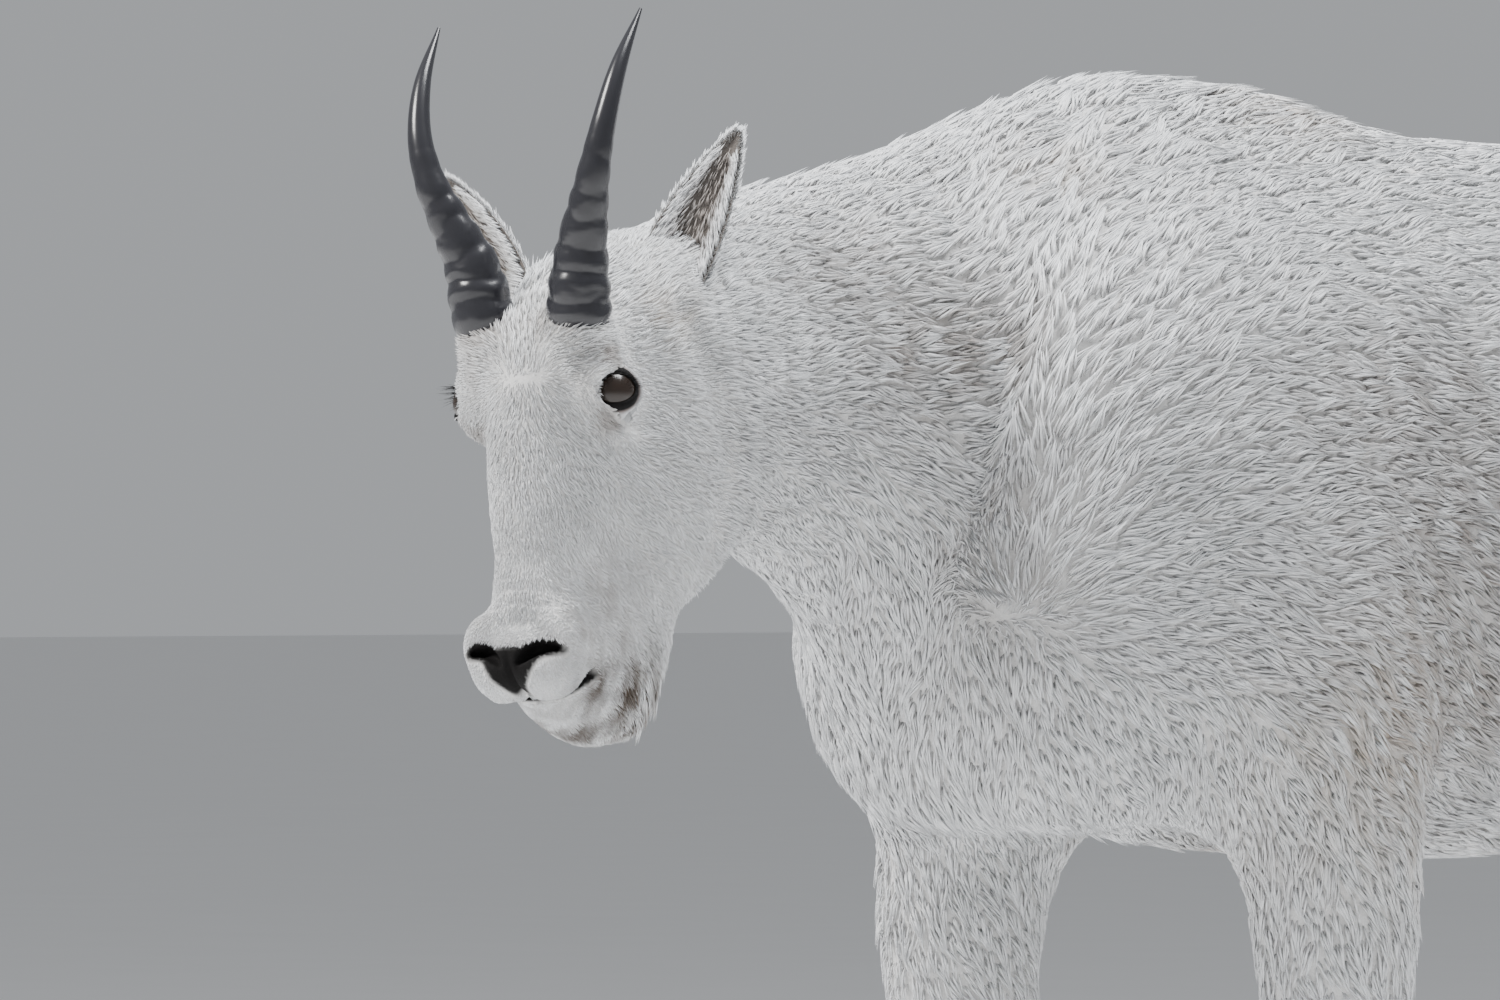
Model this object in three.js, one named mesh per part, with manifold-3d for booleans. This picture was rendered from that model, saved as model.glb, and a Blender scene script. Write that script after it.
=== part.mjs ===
// A mountain goat billy in its short summer coat, standing at rest with the head turned to its left.
// Millimetres, +Z up. The goat faces -Y and its left side is +X. The model is still: it has no joints.
// The body is one smooth field of distances. Each node is a piece of its surface, parted by thin plane cuts.

import * as THREE from "three";
import { mergeVertices } from "three/addons/utils/BufferGeometryUtils.js";
import Module from "manifold-3d";

const wasm = await Module();
wasm.setup();

// Driving dimensions
const GAP = 0.3; // kept between pieces that touch
const LEG_TOP = 470; // level where each leg is parted from the trunk
const HOOF_TOP = 44; // level where the claws start
const EYE_RADIUS = 16;
const EYE_SPACING = 49; // midline to the orbit of each eye
const CLAW_LENGTH = 92;
const CLAW_WIDTH = 33;
const CLEFT = 5; // between the two claws of a foot

// The head's own frame: a to its left, t out of the face, s down the face from between the eyes.
const HEAD_CENTRE = new THREE.Vector3(70, -698, 802);
const HEAD_YAW = THREE.MathUtils.degToRad(25); // turned to the left of -Y
const HEAD_PITCH = THREE.MathUtils.degToRad(78); // face line below the horizontal
const HEAD_ROLL = THREE.MathUtils.degToRad(-4); // crown leaning to the right

const { clamp, lerp } = THREE.MathUtils;
const V = (x, y, z) => new THREE.Vector3(x, y, z);

// A repeatable stream of random numbers from 0 to 1
function randomStream(seed) {
  let state = seed;
  return () => {
    state = (state + 0x6d2b79f5) | 0;
    let mixed = Math.imul(state ^ (state >>> 15), 1 | state);
    mixed = (mixed + Math.imul(mixed ^ (mixed >>> 7), 61 | mixed)) ^ mixed;
    return ((mixed ^ (mixed >>> 14)) >>> 0) / 4294967296;
  };
}

// The head frame

const forward = V(Math.sin(HEAD_YAW), -Math.cos(HEAD_YAW), 0);
const upward = V(0, 0, 1);
const faceOut = forward
  .clone()
  .multiplyScalar(Math.sin(HEAD_PITCH))
  .addScaledVector(upward, Math.cos(HEAD_PITCH));
const level = upward.clone().cross(forward).normalize();
const downFace = forward
  .clone()
  .multiplyScalar(Math.cos(HEAD_PITCH))
  .addScaledVector(upward, -Math.sin(HEAD_PITCH));
const headLeft = level.clone().applyAxisAngle(faceOut, -HEAD_ROLL);
const headDown = downFace.clone().applyAxisAngle(faceOut, -HEAD_ROLL);

// A point, or with where = 0 a direction, of the head frame in the goat's frame
function fromHead(a, t, s, where = 1) {
  return V(0, 0, 0)
    .addScaledVector(HEAD_CENTRE, where)
    .addScaledVector(headLeft, a)
    .addScaledVector(faceOut, t)
    .addScaledVector(headDown, s);
}

// Fields: a function of x, y, z that is negative inside

// An ellipsoid with its radii along three axes
function ellipsoid(centre, radii, axes = [V(1, 0, 0), V(0, 1, 0), V(0, 0, 1)]) {
  const reach = Math.max(...radii);
  return (x, y, z) => {
    const px = x - centre.x;
    const py = y - centre.y;
    const pz = z - centre.z;
    const far = Math.sqrt(px * px + py * py + pz * pz) - reach;
    if (far > 90) return far;
    let k0 = 0;
    let k1 = 0;
    for (let i = 0; i < 3; i++) {
      const along = (px * axes[i].x + py * axes[i].y + pz * axes[i].z) / radii[i];
      k0 += along * along;
      k1 += (along * along) / (radii[i] * radii[i]);
    }
    k0 = Math.sqrt(k0);
    if (k1 < 1e-12) return -Math.min(...radii);
    return (k0 * (k0 - 1)) / Math.sqrt(k1);
  };
}

// A tube of oval section through stations [x, y, z, half width across, half depth]
function tube(stations, across = V(1, 0, 0), splits = 3) {
  const centres = new THREE.CatmullRomCurve3(
    stations.map((s) => V(s[0], s[1], s[2])),
    false,
    "catmullrom",
    0.5,
  );
  const sizes = new THREE.CatmullRomCurve3(
    stations.map((s) => V(s[3], s[4], 0)),
    false,
    "catmullrom",
    0.5,
  );
  const count = (stations.length - 1) * splits;
  const spans = [];
  const box = new THREE.Box3();
  for (let i = 0; i < count; i++) {
    const from = centres.getPoint(i / count);
    const to = centres.getPoint((i + 1) / count);
    const axis = to.clone().sub(from);
    const length = axis.length();
    axis.normalize();
    const wide = across.clone().addScaledVector(axis, -axis.dot(across)).normalize();
    const deep = axis.clone().cross(wide);
    const sizeFrom = sizes.getPoint(i / count);
    const sizeTo = sizes.getPoint((i + 1) / count);
    spans.push({ from, axis, length, wide, deep, sizeFrom, sizeTo });
    const reach = Math.max(sizeFrom.x, sizeFrom.y, sizeTo.x, sizeTo.y);
    box.expandByPoint(from.clone().addScalar(reach));
    box.expandByPoint(from.clone().subScalar(reach));
    box.expandByPoint(to.clone().addScalar(reach));
    box.expandByPoint(to.clone().subScalar(reach));
  }
  return (x, y, z) => {
    const farX = Math.max(box.min.x - x, x - box.max.x, 0);
    const farY = Math.max(box.min.y - y, y - box.max.y, 0);
    const farZ = Math.max(box.min.z - z, z - box.max.z, 0);
    const far = Math.sqrt(farX * farX + farY * farY + farZ * farZ);
    if (far > 90) return far;
    let nearest = Infinity;
    for (const { from, axis, length, wide, deep, sizeFrom, sizeTo } of spans) {
      const px = x - from.x;
      const py = y - from.y;
      const pz = z - from.z;
      const run = px * axis.x + py * axis.y + pz * axis.z;
      const share = clamp(run / length, 0, 1);
      const over = run - share * length;
      const ra = lerp(sizeFrom.x, sizeTo.x, share);
      const rb = lerp(sizeFrom.y, sizeTo.y, share);
      const rc = Math.min(ra, rb) * 0.8;
      const u = (px * wide.x + py * wide.y + pz * wide.z) / ra;
      const v = (px * deep.x + py * deep.y + pz * deep.z) / rb;
      const w = over / rc;
      const k0 = Math.sqrt(u * u + v * v + w * w);
      const k1 = Math.sqrt((u * u) / (ra * ra) + (v * v) / (rb * rb) + (w * w) / (rc * rc));
      const value = k1 < 1e-9 ? -rc : (k0 * (k0 - 1)) / k1;
      if (value < nearest) nearest = value;
    }
    return nearest;
  };
}

// Two fields joined with a fillet about as wide as blend
function blendOf(a, b, blend) {
  const near = Math.max(blend - Math.abs(a - b), 0) / blend;
  return Math.min(a, b) - near * near * blend * 0.25;
}

// A list of [field, blend] joined in turn
function joined(list) {
  return (x, y, z) => {
    let value = Infinity;
    for (const [field, blend] of list) {
      const next = field(x, y, z);
      value = value === Infinity ? next : blendOf(value, next, blend);
    }
    return value;
  };
}

// The trunk: stations down the back of [y, top, bottom, half width]

const TRUNK_LINE = [
  [-365, 898, 600, 96],
  [-300, 952, 552, 130],
  [-200, 980, 522, 150],
  [-100, 979, 512, 162],
  [0, 972, 510, 170],
  [120, 966, 518, 173],
  [240, 954, 548, 166],
  [335, 923, 590, 150],
  [400, 874, 640, 118],
];
const trunk = tube(
  TRUNK_LINE.map(([y, top, bottom, half]) => [0, y, (top + bottom) / 2, half, (top - bottom) / 2]),
);
const hump = ellipsoid(V(0, -180, 888), [60, 150, 104]);
const breast = ellipsoid(V(0, -332, 650), [112, 66, 108]);

// The neck: stations [x, y, top, bottom, half width], bending to the left
const NECK_LINE = [
  [0, -270, 981, 600, 126],
  [0, -350, 970, 632, 112],
  [8, -430, 953, 668, 97],
  [24, -505, 937, 698, 84],
  [42, -570, 919, 708, 72],
  [54, -610, 903, 722, 60],
];
const neck = tube(
  NECK_LINE.map(([x, y, top, bottom, half]) => [x, y, (top + bottom) / 2, half, (top - bottom) / 2]),
);

// The shoulders, haunches and legs: side is 1 on the left and -1 on the right,
// and foot is the y of the carpus or hock

function foreleg(side, foot) {
  const x = 110 * side;
  return [
    [ellipsoid(V(98 * side, -235, 720), [58, 112, 180]), 70],
    [ellipsoid(V(84 * side, -318, 640), [58, 62, 96]), 60],
    [
      tube([
        [x - 24 * side, lerp(-210, foot, 0.3), 760, 56, 96],
        [x + 2 * side, lerp(-195, foot, 0.5), 650, 60, 92],
        [x + 4 * side, lerp(-190, foot, 0.75), 560, 55, 76],
        [x, foot - 2, 480, 50, 62],
        [x - 2 * side, foot, 390, 42, 50],
        [x - 3 * side, foot - 4, 300, 35, 42],
        [x - 4 * side, foot - 4, 265, 32, 38],
        [x - 4 * side, foot - 3, 190, 25, 30],
        [x - 4 * side, foot - 8, 105, 31, 37],
        [x - 3 * side, foot - 26, 62, 32, 37],
        [x - 3 * side, foot - 34, 36, 34, 40],
      ]),
      45,
    ],
  ];
}

function hindleg(side, foot) {
  const x = 104 * side;
  return [
    [ellipsoid(V(92 * side, 318, 740), [66, 122, 150]), 70],
    [
      tube([
        [x - 12 * side, lerp(330, foot, 0.1), 700, 66, 126],
        [x, lerp(285, foot, 0.2), 600, 64, 104],
        [x + 3 * side, lerp(285, foot, 0.45), 520, 55, 80],
        [x + 2 * side, foot - 62, 440, 41, 58],
        [x, foot - 14, 375, 31, 46],
        [x - 1 * side, foot, 335, 27, 41],
        [x - 2 * side, foot - 6, 250, 24, 32],
        [x - 2 * side, foot - 12, 180, 24, 30],
        [x - 2 * side, foot - 16, 105, 30, 36],
        [x - 1 * side, foot - 34, 62, 31, 36],
        [x - 1 * side, foot - 42, 36, 33, 39],
      ]),
      45,
    ],
  ];
}

const FOREFOOT = { left: -132, right: -258 };
const HINDFOOT = { left: 402, right: 446 };
const SIDES = { left: 1, right: -1 };

const tail = tube([
  [0, 425, 862, 26, 30],
  [0, 470, 848, 28, 26],
  [0, 496, 812, 27, 22],
  [0, 505, 765, 20, 17],
  [0, 506, 735, 9, 8],
]);

const bodyField = joined([
  [trunk, 1],
  [hump, 60],
  [neck, 70],
  [breast, 60],
  ...foreleg(1, FOREFOOT.left),
  ...foreleg(-1, FOREFOOT.right),
  ...hindleg(1, HINDFOOT.left),
  ...hindleg(-1, HINDFOOT.right),
  [tail, 22],
]);

// The head, in its own frame: stations down the face of [s, front, back, half width]

const FACE_LINE = [
  [-72, -24, -140, 36],
  [-52, 4, -152, 47],
  [-28, 24, -156, 54],
  [0, 32, -152, 55],
  [30, 31, -148, 50],
  [60, 28, -148, 46],
  [85, 25, -150, 43],
  [110, 23, -143, 42],
  [135, 23, -129, 42],
  [152, 22, -114, 41],
  [163, 15, -97, 35],
];
const HEAD_AXES = [headLeft, faceOut, headDown];
const headBall = (a, t, s, radii) => ellipsoid(fromHead(a, t, s), radii, HEAD_AXES);
const pair = (a, t, s, radii, blend) => [
  [headBall(a, t, s, radii), blend],
  [headBall(-a, t, s, radii), blend],
];

const headField = joined([
  [
    tube(
      FACE_LINE.map(([s, front, back, half]) => {
        const at = fromHead(0, (front + back) / 2, s);
        return [at.x, at.y, at.z, half, (front - back) / 2];
      }),
      headLeft,
    ),
    1,
  ],
  ...pair(42, -92, 40, [30, 54, 64], 30), // cheeks
  ...pair(EYE_SPACING - 5, 0, 0, [18, 22, 23], 16), // orbits
  ...pair(29, 10, -31, [25, 25, 24], 18), // brow and hair cuffs below the horns
  ...pair(42, -58, -54, [16, 19, 16], 14), // bases of the ears
  ...pair(27, 3, 153, [15, 16, 20], 11), // wings of the nostrils
  ...pair(19, -6, 172, [18, 21, 16], 9), // upper lip
  [headBall(0, -40, 177, [23, 25, 14]), 9], // chin
]);

const wholeField = joined([
  [bodyField, 1],
  [headField, 34],
]);

// Meshes

// Grid positions from a multiple of the step below low up to high, closer where a band asks for it
function gridLine(low, high, step, bands = []) {
  const line = [Math.floor(low / step) * step];
  while (line.at(-1) < high) {
    const at = line.at(-1);
    const band = bands.find((b) => at >= b.from - b.step && at < b.to);
    line.push(at + (band ? band.step : step));
  }
  return line;
}

const CORNERS = [0, 1, 2, 3, 4, 5, 6, 7].map((c) => [c & 1, (c >> 1) & 1, (c >> 2) & 1]);
const CELL_EDGES = CORNERS.flatMap((_, c) =>
  [1, 2, 4].filter((bit) => !(c & bit)).map((bit) => [c, c | bit]),
);

// The field's slope at a point, by differences
function slopeOf(field, p, h = 0.4) {
  return V(
    field(p.x + h, p.y, p.z) - field(p.x - h, p.y, p.z),
    field(p.x, p.y + h, p.z) - field(p.x, p.y - h, p.z),
    field(p.x, p.y, p.z + h) - field(p.x, p.y, p.z - h),
  ).divideScalar(2 * h);
}

// The point of the field's surface nearest to p, moving at most reach
function settled(field, p, reach = Infinity, turns = 3) {
  const at = p.clone();
  for (let i = 0; i < turns; i++) {
    const slope = slopeOf(field, at);
    const size = Math.max(slope.lengthSq(), 0.05);
    at.addScaledVector(slope, -field(at.x, at.y, at.z) / size);
  }
  const moved = at.clone().sub(p);
  return moved.length() > reach ? p.clone().addScaledVector(moved.normalize(), reach) : at;
}

// The closed surface of a field on a grid: one vertex in each cell that the surface crosses,
// and one face over each grid edge that it crosses
function surfaceOf(field, lines) {
  const [xs, ys, zs] = lines;
  const size = [xs.length, ys.length, zs.length];
  const nodeAt = (i, j, k) => (k * size[1] + j) * size[0] + i;
  const values = new Float64Array(size[0] * size[1] * size[2]);
  for (let k = 0; k < size[2]; k++)
    for (let j = 0; j < size[1]; j++)
      for (let i = 0; i < size[0]; i++) {
        const rim = [i, j, k].some((n, axis) => n === 0 || n === size[axis] - 1);
        values[nodeAt(i, j, k)] = rim ? 1000 : field(xs[i], ys[j], zs[k]);
      }
  const vertices = [];
  const vertexOf = new Map();
  for (let k = 0; k < size[2] - 1; k++)
    for (let j = 0; j < size[1] - 1; j++)
      for (let i = 0; i < size[0] - 1; i++) {
        const value = CORNERS.map(([a, b, c]) => values[nodeAt(i + a, j + b, k + c)]);
        const crossing = CELL_EDGES.filter(([a, b]) => value[a] < 0 !== value[b] < 0);
        if (!crossing.length) continue;
        const label = value.map((_, c) => c);
        for (let turn = 0; turn < 3; turn++)
          for (const [a, b] of CELL_EDGES)
            if (value[a] < 0 && value[b] < 0) label[a] = label[b] = Math.min(label[a], label[b]);
        const point = (c) => V(xs[i + CORNERS[c][0]], ys[j + CORNERS[c][1]], zs[k + CORNERS[c][2]]);
        const made = new Map();
        for (const [a, b] of crossing) {
          const inner = value[a] < 0 ? a : b;
          const outer = inner === a ? b : a;
          const share = value[inner] / (value[inner] - value[outer]);
          const sum = made.get(label[inner]) ?? { at: V(0, 0, 0), count: 0 };
          sum.at.add(point(inner).lerp(point(outer), share));
          sum.count++;
          made.set(label[inner], sum);
        }
        const reach = 0.45 * Math.min(xs[i + 1] - xs[i], ys[j + 1] - ys[j], zs[k + 1] - zs[k]);
        const ids = new Map();
        for (const [name, sum] of made) {
          ids.set(name, vertices.length);
          vertices.push(settled(field, sum.at.divideScalar(sum.count), reach));
        }
        vertexOf.set(nodeAt(i, j, k), label.map((name) => ids.get(name)));
      }
  const faces = [];
  const addQuad = (a, b, c, d) => {
    const [pa, pb, pc, pd] = [a, b, c, d].map((n) => vertices[n]);
    if (pa.distanceToSquared(pc) <= pb.distanceToSquared(pd)) faces.push([a, b, c], [a, c, d]);
    else faces.push([a, b, d], [b, c, d]);
  };
  for (let k = 0; k < size[2]; k++)
    for (let j = 0; j < size[1]; j++)
      for (let i = 0; i < size[0]; i++) {
        const here = [i, j, k];
        for (let axis = 0; axis < 3; axis++) {
          if (here[axis] + 1 >= size[axis]) continue;
          const next = here.map((n, m) => n + (m === axis ? 1 : 0));
          const a = values[nodeAt(...here)];
          const b = values[nodeAt(...next)];
          if (a < 0 === b < 0) continue;
          const inner = a < 0 ? here : next;
          const u = (axis + 1) % 3;
          const v = (axis + 2) % 3;
          const ring = [[0, 0], [-1, 0], [-1, -1], [0, -1]].map(([du, dv]) => {
            const cell = [...here];
            cell[u] += du;
            cell[v] += dv;
            const corner = inner.map((n, m) => n - cell[m]);
            return vertexOf.get(nodeAt(...cell))[corner[0] + 2 * corner[1] + 4 * corner[2]];
          });
          if (a < 0) addQuad(...ring);
          else addQuad(...ring.reverse());
        }
      }
  return solidOf(vertices, faces);
}

// A solid of vertices and faces, turned the right way out
function solidOf(vertices, faces) {
  let volume = 0;
  for (const [a, b, c] of faces) volume += vertices[a].dot(V(0, 0, 0).crossVectors(vertices[b], vertices[c]));
  return new wasm.Manifold(
    new wasm.Mesh({
      numProp: 3,
      vertProperties: new Float32Array(vertices.flatMap((v) => [v.x, v.y, v.z])),
      triVerts: new Uint32Array(faces.flatMap(([a, b, c]) => (volume < 0 ? [a, c, b] : [a, b, c]))),
    }),
  );
}

// The solid of any closed three.js geometry
function solidOfGeometry(geometry) {
  const bare = geometry.index ? geometry.toNonIndexed() : geometry.clone();
  const plain = new THREE.BufferGeometry().setAttribute("position", bare.getAttribute("position"));
  const merged = mergeVertices(plain, 1e-4);
  const position = merged.getAttribute("position");
  const vertices = [...Array(position.count).keys()].map((n) => V(0, 0, 0).fromBufferAttribute(position, n));
  const faces = [];
  for (let n = 0; n < merged.index.count; n += 3) {
    const face = [0, 1, 2].map((m) => merged.index.getX(n + m));
    if (new Set(face).size === 3) faces.push(face);
  }
  return solidOf(vertices, faces);
}

// A closed skin over rings of points. A ring of one point is a tip, and a loop of rings has no ends.
function loft(rings, loop = false) {
  const vertices = rings.flat();
  const faces = [];
  const starts = [];
  rings.reduce((sum, ring) => {
    starts.push(sum);
    return sum + ring.length;
  }, 0);
  const spans = loop ? rings.length : rings.length - 1;
  for (let i = 0; i < spans; i++) {
    const next = (i + 1) % rings.length;
    const sides = Math.max(rings[i].length, rings[next].length);
    for (let j = 0; j < sides; j++) {
      const k = (j + 1) % sides;
      const a = starts[i] + (rings[i].length > 1 ? j : 0);
      const b = starts[i] + (rings[i].length > 1 ? k : 0);
      const c = starts[next] + (rings[next].length > 1 ? k : 0);
      const d = starts[next] + (rings[next].length > 1 ? j : 0);
      if (a !== b) faces.push([a, b, c]);
      if (c !== d) faces.push([a, c, d]);
    }
  }
  if (!loop)
    for (const [ring, start, flip] of [
      [rings[0], starts[0], true],
      [rings.at(-1), starts.at(-1), false],
    ]) {
      if (ring.length < 3) continue;
      const centre = vertices.length;
      vertices.push(ring.reduce((sum, v) => sum.add(v), V(0, 0, 0)).divideScalar(ring.length));
      for (let j = 0; j < ring.length; j++) {
        const k = (j + 1) % ring.length;
        faces.push(flip ? [start + k, start + j, centre] : [start + j, start + k, centre]);
      }
    }
  return solidOf(vertices, faces);
}

// A ring of points round a centre, on two axes
function ovalRing(centre, across, out, ra, rb, sides, turn = 0) {
  return [...Array(sides).keys()].map((n) => {
    const angle = ((n + turn) / sides) * 2 * Math.PI;
    return centre
      .clone()
      .addScaledVector(across, Math.cos(angle) * ra)
      .addScaledVector(out, Math.sin(angle) * rb);
  });
}

// The largest closed surface of a solid
function largest(solid) {
  return solid.decompose().reduce((best, piece) => (piece.volume() > best.volume() ? piece : best));
}

// What lies on the side of a plane that its normal points to, moved off the plane by half the gap
const CUTTER_SIZE = 4000;
function halfSpace(point, normal) {
  const box = new THREE.BoxGeometry(CUTTER_SIZE, CUTTER_SIZE, CUTTER_SIZE);
  box.translate(0, 0, CUTTER_SIZE / 2 + GAP / 2);
  const turn = new THREE.Quaternion().setFromUnitVectors(V(0, 0, 1), normal.clone().normalize());
  box.applyQuaternion(turn).translate(point.x, point.y, point.z);
  return solidOfGeometry(box);
}

function keep(solid, cuts) {
  return largest(cuts.reduce((rest, [point, normal]) => rest.intersect(halfSpace(point, normal)), solid));
}

// A solid grown outwards by a distance along its vertex normals
function grown(solid, distance) {
  const mesh = solid.getMesh();
  const vertices = [];
  for (let n = 0; n < mesh.vertProperties.length; n += mesh.numProp)
    vertices.push(V(mesh.vertProperties[n], mesh.vertProperties[n + 1], mesh.vertProperties[n + 2]));
  const normals = vertices.map(() => V(0, 0, 0));
  const faces = [];
  for (let n = 0; n < mesh.triVerts.length; n += 3) {
    const [a, b, c] = [0, 1, 2].map((m) => mesh.triVerts[n + m]);
    const normal = vertices[b].clone().sub(vertices[a]).cross(vertices[c].clone().sub(vertices[a]));
    for (const m of [a, b, c]) normals[m].add(normal);
    faces.push([a, b, c]);
  }
  return solidOf(vertices.map((v, n) => v.clone().addScaledVector(normals[n].normalize(), distance)), faces);
}

// Planes that part the nodes

const headPlane = [fromHead(0, -132, -10), fromHead(0, -0.97, -0.24, 0)];
const neckPlane = [V(0, -372, 790), V(0, -0.8, 0.6)];
const barrelPlane = [V(0, -25, 700), V(0, 1, 0)];
const haunchPlane = [V(0, 215, 700), V(0, 1, 0)];
const tailPlane = [V(0, 452, 850), V(0, 0.9, 0.43)];
const legPlane = [V(0, 0, LEG_TOP), V(0, 0, 1)];
const hoofPlane = [V(0, 0, HOOF_TOP), V(0, 0, 1)];
const facing = ([point, normal]) => [point, normal.clone().negate()];

// Flat tapered locks

// One lock: a flat blade that starts sink below its root, bends towards bend and ends in a point
function lockSolid({ root, along, normal, length, width, thickness, bend, sink }) {
  const turns = [0, 0.34, 0.68];
  const across = along.clone().cross(normal).normalize();
  const at = (share) =>
    root
      .clone()
      .addScaledVector(normal, -sink * (1 - share))
      .addScaledVector(along, length * share)
      .addScaledVector(bend, share * share * length);
  const rings = turns.map((share) => {
    const run = at(share + 0.05).sub(at(share)).normalize();
    const out = across.clone().cross(run).normalize();
    const taper = 1 - 0.75 * share * share;
    return ovalRing(at(share), across, out, (width / 2) * taper, (thickness / 2) * (1 - 0.5 * share), 4);
  });
  return loft([...rings, [at(1)]]);
}

// Locks in rows from one point to another, rooted on a field's surface
function lockRow(row) {
  const { field, from, to, count, along, bend, length, width, thickness, seed, spread = 8, sink = 9 } = row;
  const random = randomStream(seed);
  return [...Array(count).keys()].map((n) => {
    const share = (n + 0.5) / count;
    const place = from.clone().lerp(to, share);
    place.add(V(random() - 0.5, random() - 0.5, random() - 0.5).multiplyScalar(2 * spread));
    const root = settled(field, place, Infinity, 6);
    const normal = slopeOf(field, root).normalize();
    const lean = V(random() - 0.5, random() - 0.5, random() - 0.5).multiplyScalar(0.3);
    const run = along.clone().add(lean);
    run.addScaledVector(normal, Math.max(0.22 - run.dot(normal), 0)).normalize();
    return lockSolid({
      root,
      along: run,
      normal,
      bend,
      sink,
      thickness,
      length: length * (0.85 + 0.3 * random()),
      width: width * (0.85 + 0.3 * random()),
    });
  });
}

// Locks of the coat, as flat blades along its lie

const crown = V(0, 0.92, 0.38).normalize();
const locks = [];

function addLocks(row) {
  locks.push(...lockRow({ field: wholeField, ...row }));
}

// Crest of the hump and the back: two staggered rows either side of the midline
for (const [x, seed] of [[-15, 11], [15, 12]]) {
  addLocks({
    from: V(x, -330 + x, 940),
    to: V(x, 60 + x, 945),
    count: 8,
    along: crown,
    bend: V(0, 0.1, -0.1),
    length: 48,
    width: 48,
    thickness: 9,
    seed,
  });
}
// Mane on the neck
addLocks({
  from: V(44, -590, 900),
  to: V(0, -350, 950),
  count: 6,
  along: V(-0.1, 0.94, 0.3).normalize(),
  bend: V(0, 0.1, -0.1),
  length: 42,
  width: 42,
  thickness: 8,
  seed: 21,
});
// Fringe down the breast and brisket
for (const [x, count, seed] of [[-40, 4, 31], [0, 5, 32], [40, 4, 33]]) {
  addLocks({
    from: V(x, -370, 585),
    to: V(x, -240, 530),
    count,
    along: V(0, 0.6, -0.8).normalize(),
    bend: V(0, 0.1, 0),
    length: 44,
    width: 50,
    thickness: 9,
    seed,
  });
}
// Fringe along the belly
for (const [x, seed] of [[-66, 41], [66, 42]]) {
  addLocks({
    from: V(x, -45, 535),
    to: V(x, 235, 570),
    count: 6,
    along: V(0, 0.86, -0.5).normalize(),
    bend: V(0, 0.1, 0),
    length: 56,
    width: 62,
    thickness: 9,
    seed,
  });
}
// Breeches behind the thighs
for (const [x, seed] of [[-84, 51], [84, 52]]) {
  addLocks({
    from: V(x, 450, 770),
    to: V(x * 1.2, 400, 590),
    count: 5,
    along: V(0, 0.12, -1).normalize(),
    bend: V(0, 0.02, 0),
    length: 58,
    width: 60,
    thickness: 10,
    seed,
  });
}
// Tuft of the tail
addLocks({
  from: V(0, 505, 835),
  to: V(0, 525, 770),
  count: 4,
  along: V(0, 0.12, -1).normalize(),
  bend: V(0, -0.05, -0.1),
  length: 44,
  width: 36,
  thickness: 9,
  seed: 61,
});
// Beard under the jaw, from the chin back to the jaw's angle, brushed backwards and down
for (const [a, count, seed] of [[-21, 6, 71], [0, 5, 72], [21, 6, 73]]) {
  addLocks({
    from: fromHead(a, -98, 160),
    to: fromHead(a * 1.4, -140, 96),
    count,
    along: fromHead(0.2 * Math.sign(a), -0.85, 0.4, 0).normalize(),
    bend: fromHead(0, 0, 0.12, 0),
    length: 22,
    width: 30,
    thickness: 7,
    seed,
    spread: 3,
    sink: 6,
  });
}

// Nodes

const nodes = [];
function addNode(name, solid, colour, roughness = 0.95) {
  nodes.push({ name, solid, colour, roughness });
}

const COAT = 0xe4e1da;
const HORN_COLOUR = 0x17161a;
const HOOF_COLOUR = 0x2b2724;
const EYE_COLOUR = 0x120c09;
const EAR_COLOUR = 0xd8d2ca;

// The whole field inside a box with its locks, cut by planes
function fleshPiece(low, high, step, cuts, bands = [[], [], []]) {
  const lines = ["x", "y", "z"].map((axis, n) => gridLine(low[axis], high[axis], step[n], bands[n]));
  const box = new THREE.Box3(low, high);
  const reaches = (lock) => {
    const { min, max } = lock.boundingBox();
    return box.intersectsBox(new THREE.Box3(V(...min), V(...max)));
  };
  const whole = locks.filter(reaches).reduce((sum, lock) => sum.add(lock), surfaceOf(wholeField, lines));
  return keep(whole, cuts);
}

const TRUNK_STEP = [40, 40, 40]; // one grid for the trunk and neck, so that their surfaces meet at each cut
addNode(
  "forequarters",
  fleshPiece(V(-260, -520, 430), V(260, 90, 1060), TRUNK_STEP, [
    facing(neckPlane),
    facing(barrelPlane),
    legPlane,
  ]),
  COAT,
);
addNode(
  "barrel",
  fleshPiece(V(-260, -130, 430), V(260, 320, 1060), TRUNK_STEP, [
    barrelPlane,
    facing(haunchPlane),
    legPlane,
  ]),
  COAT,
);
addNode(
  "hindquarters",
  fleshPiece(V(-260, 110, 430), V(260, 560, 1060), TRUNK_STEP, [
    haunchPlane,
    facing(tailPlane),
    legPlane,
  ]),
  COAT,
);
addNode("tail", fleshPiece(V(-80, 400, 690), V(80, 560, 930), [20, 20, 20], [tailPlane]), COAT);
addNode("neck", fleshPiece(V(-200, -760, 500), V(220, -150, 1060), TRUNK_STEP, [neckPlane, headPlane]), COAT);

// The head, with sockets, lids, nostrils and the line of the mouth

const HEAD_STEP = [13.5, 13.5, 17];
const HEAD_BANDS = [[], [], [{ from: 610, to: 690, step: 11 }, { from: 775, to: 830, step: 11 }]];
let head = fleshPiece(V(-90, -870, 560), V(210, -480, 970), HEAD_STEP, [facing(headPlane)], HEAD_BANDS);

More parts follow.
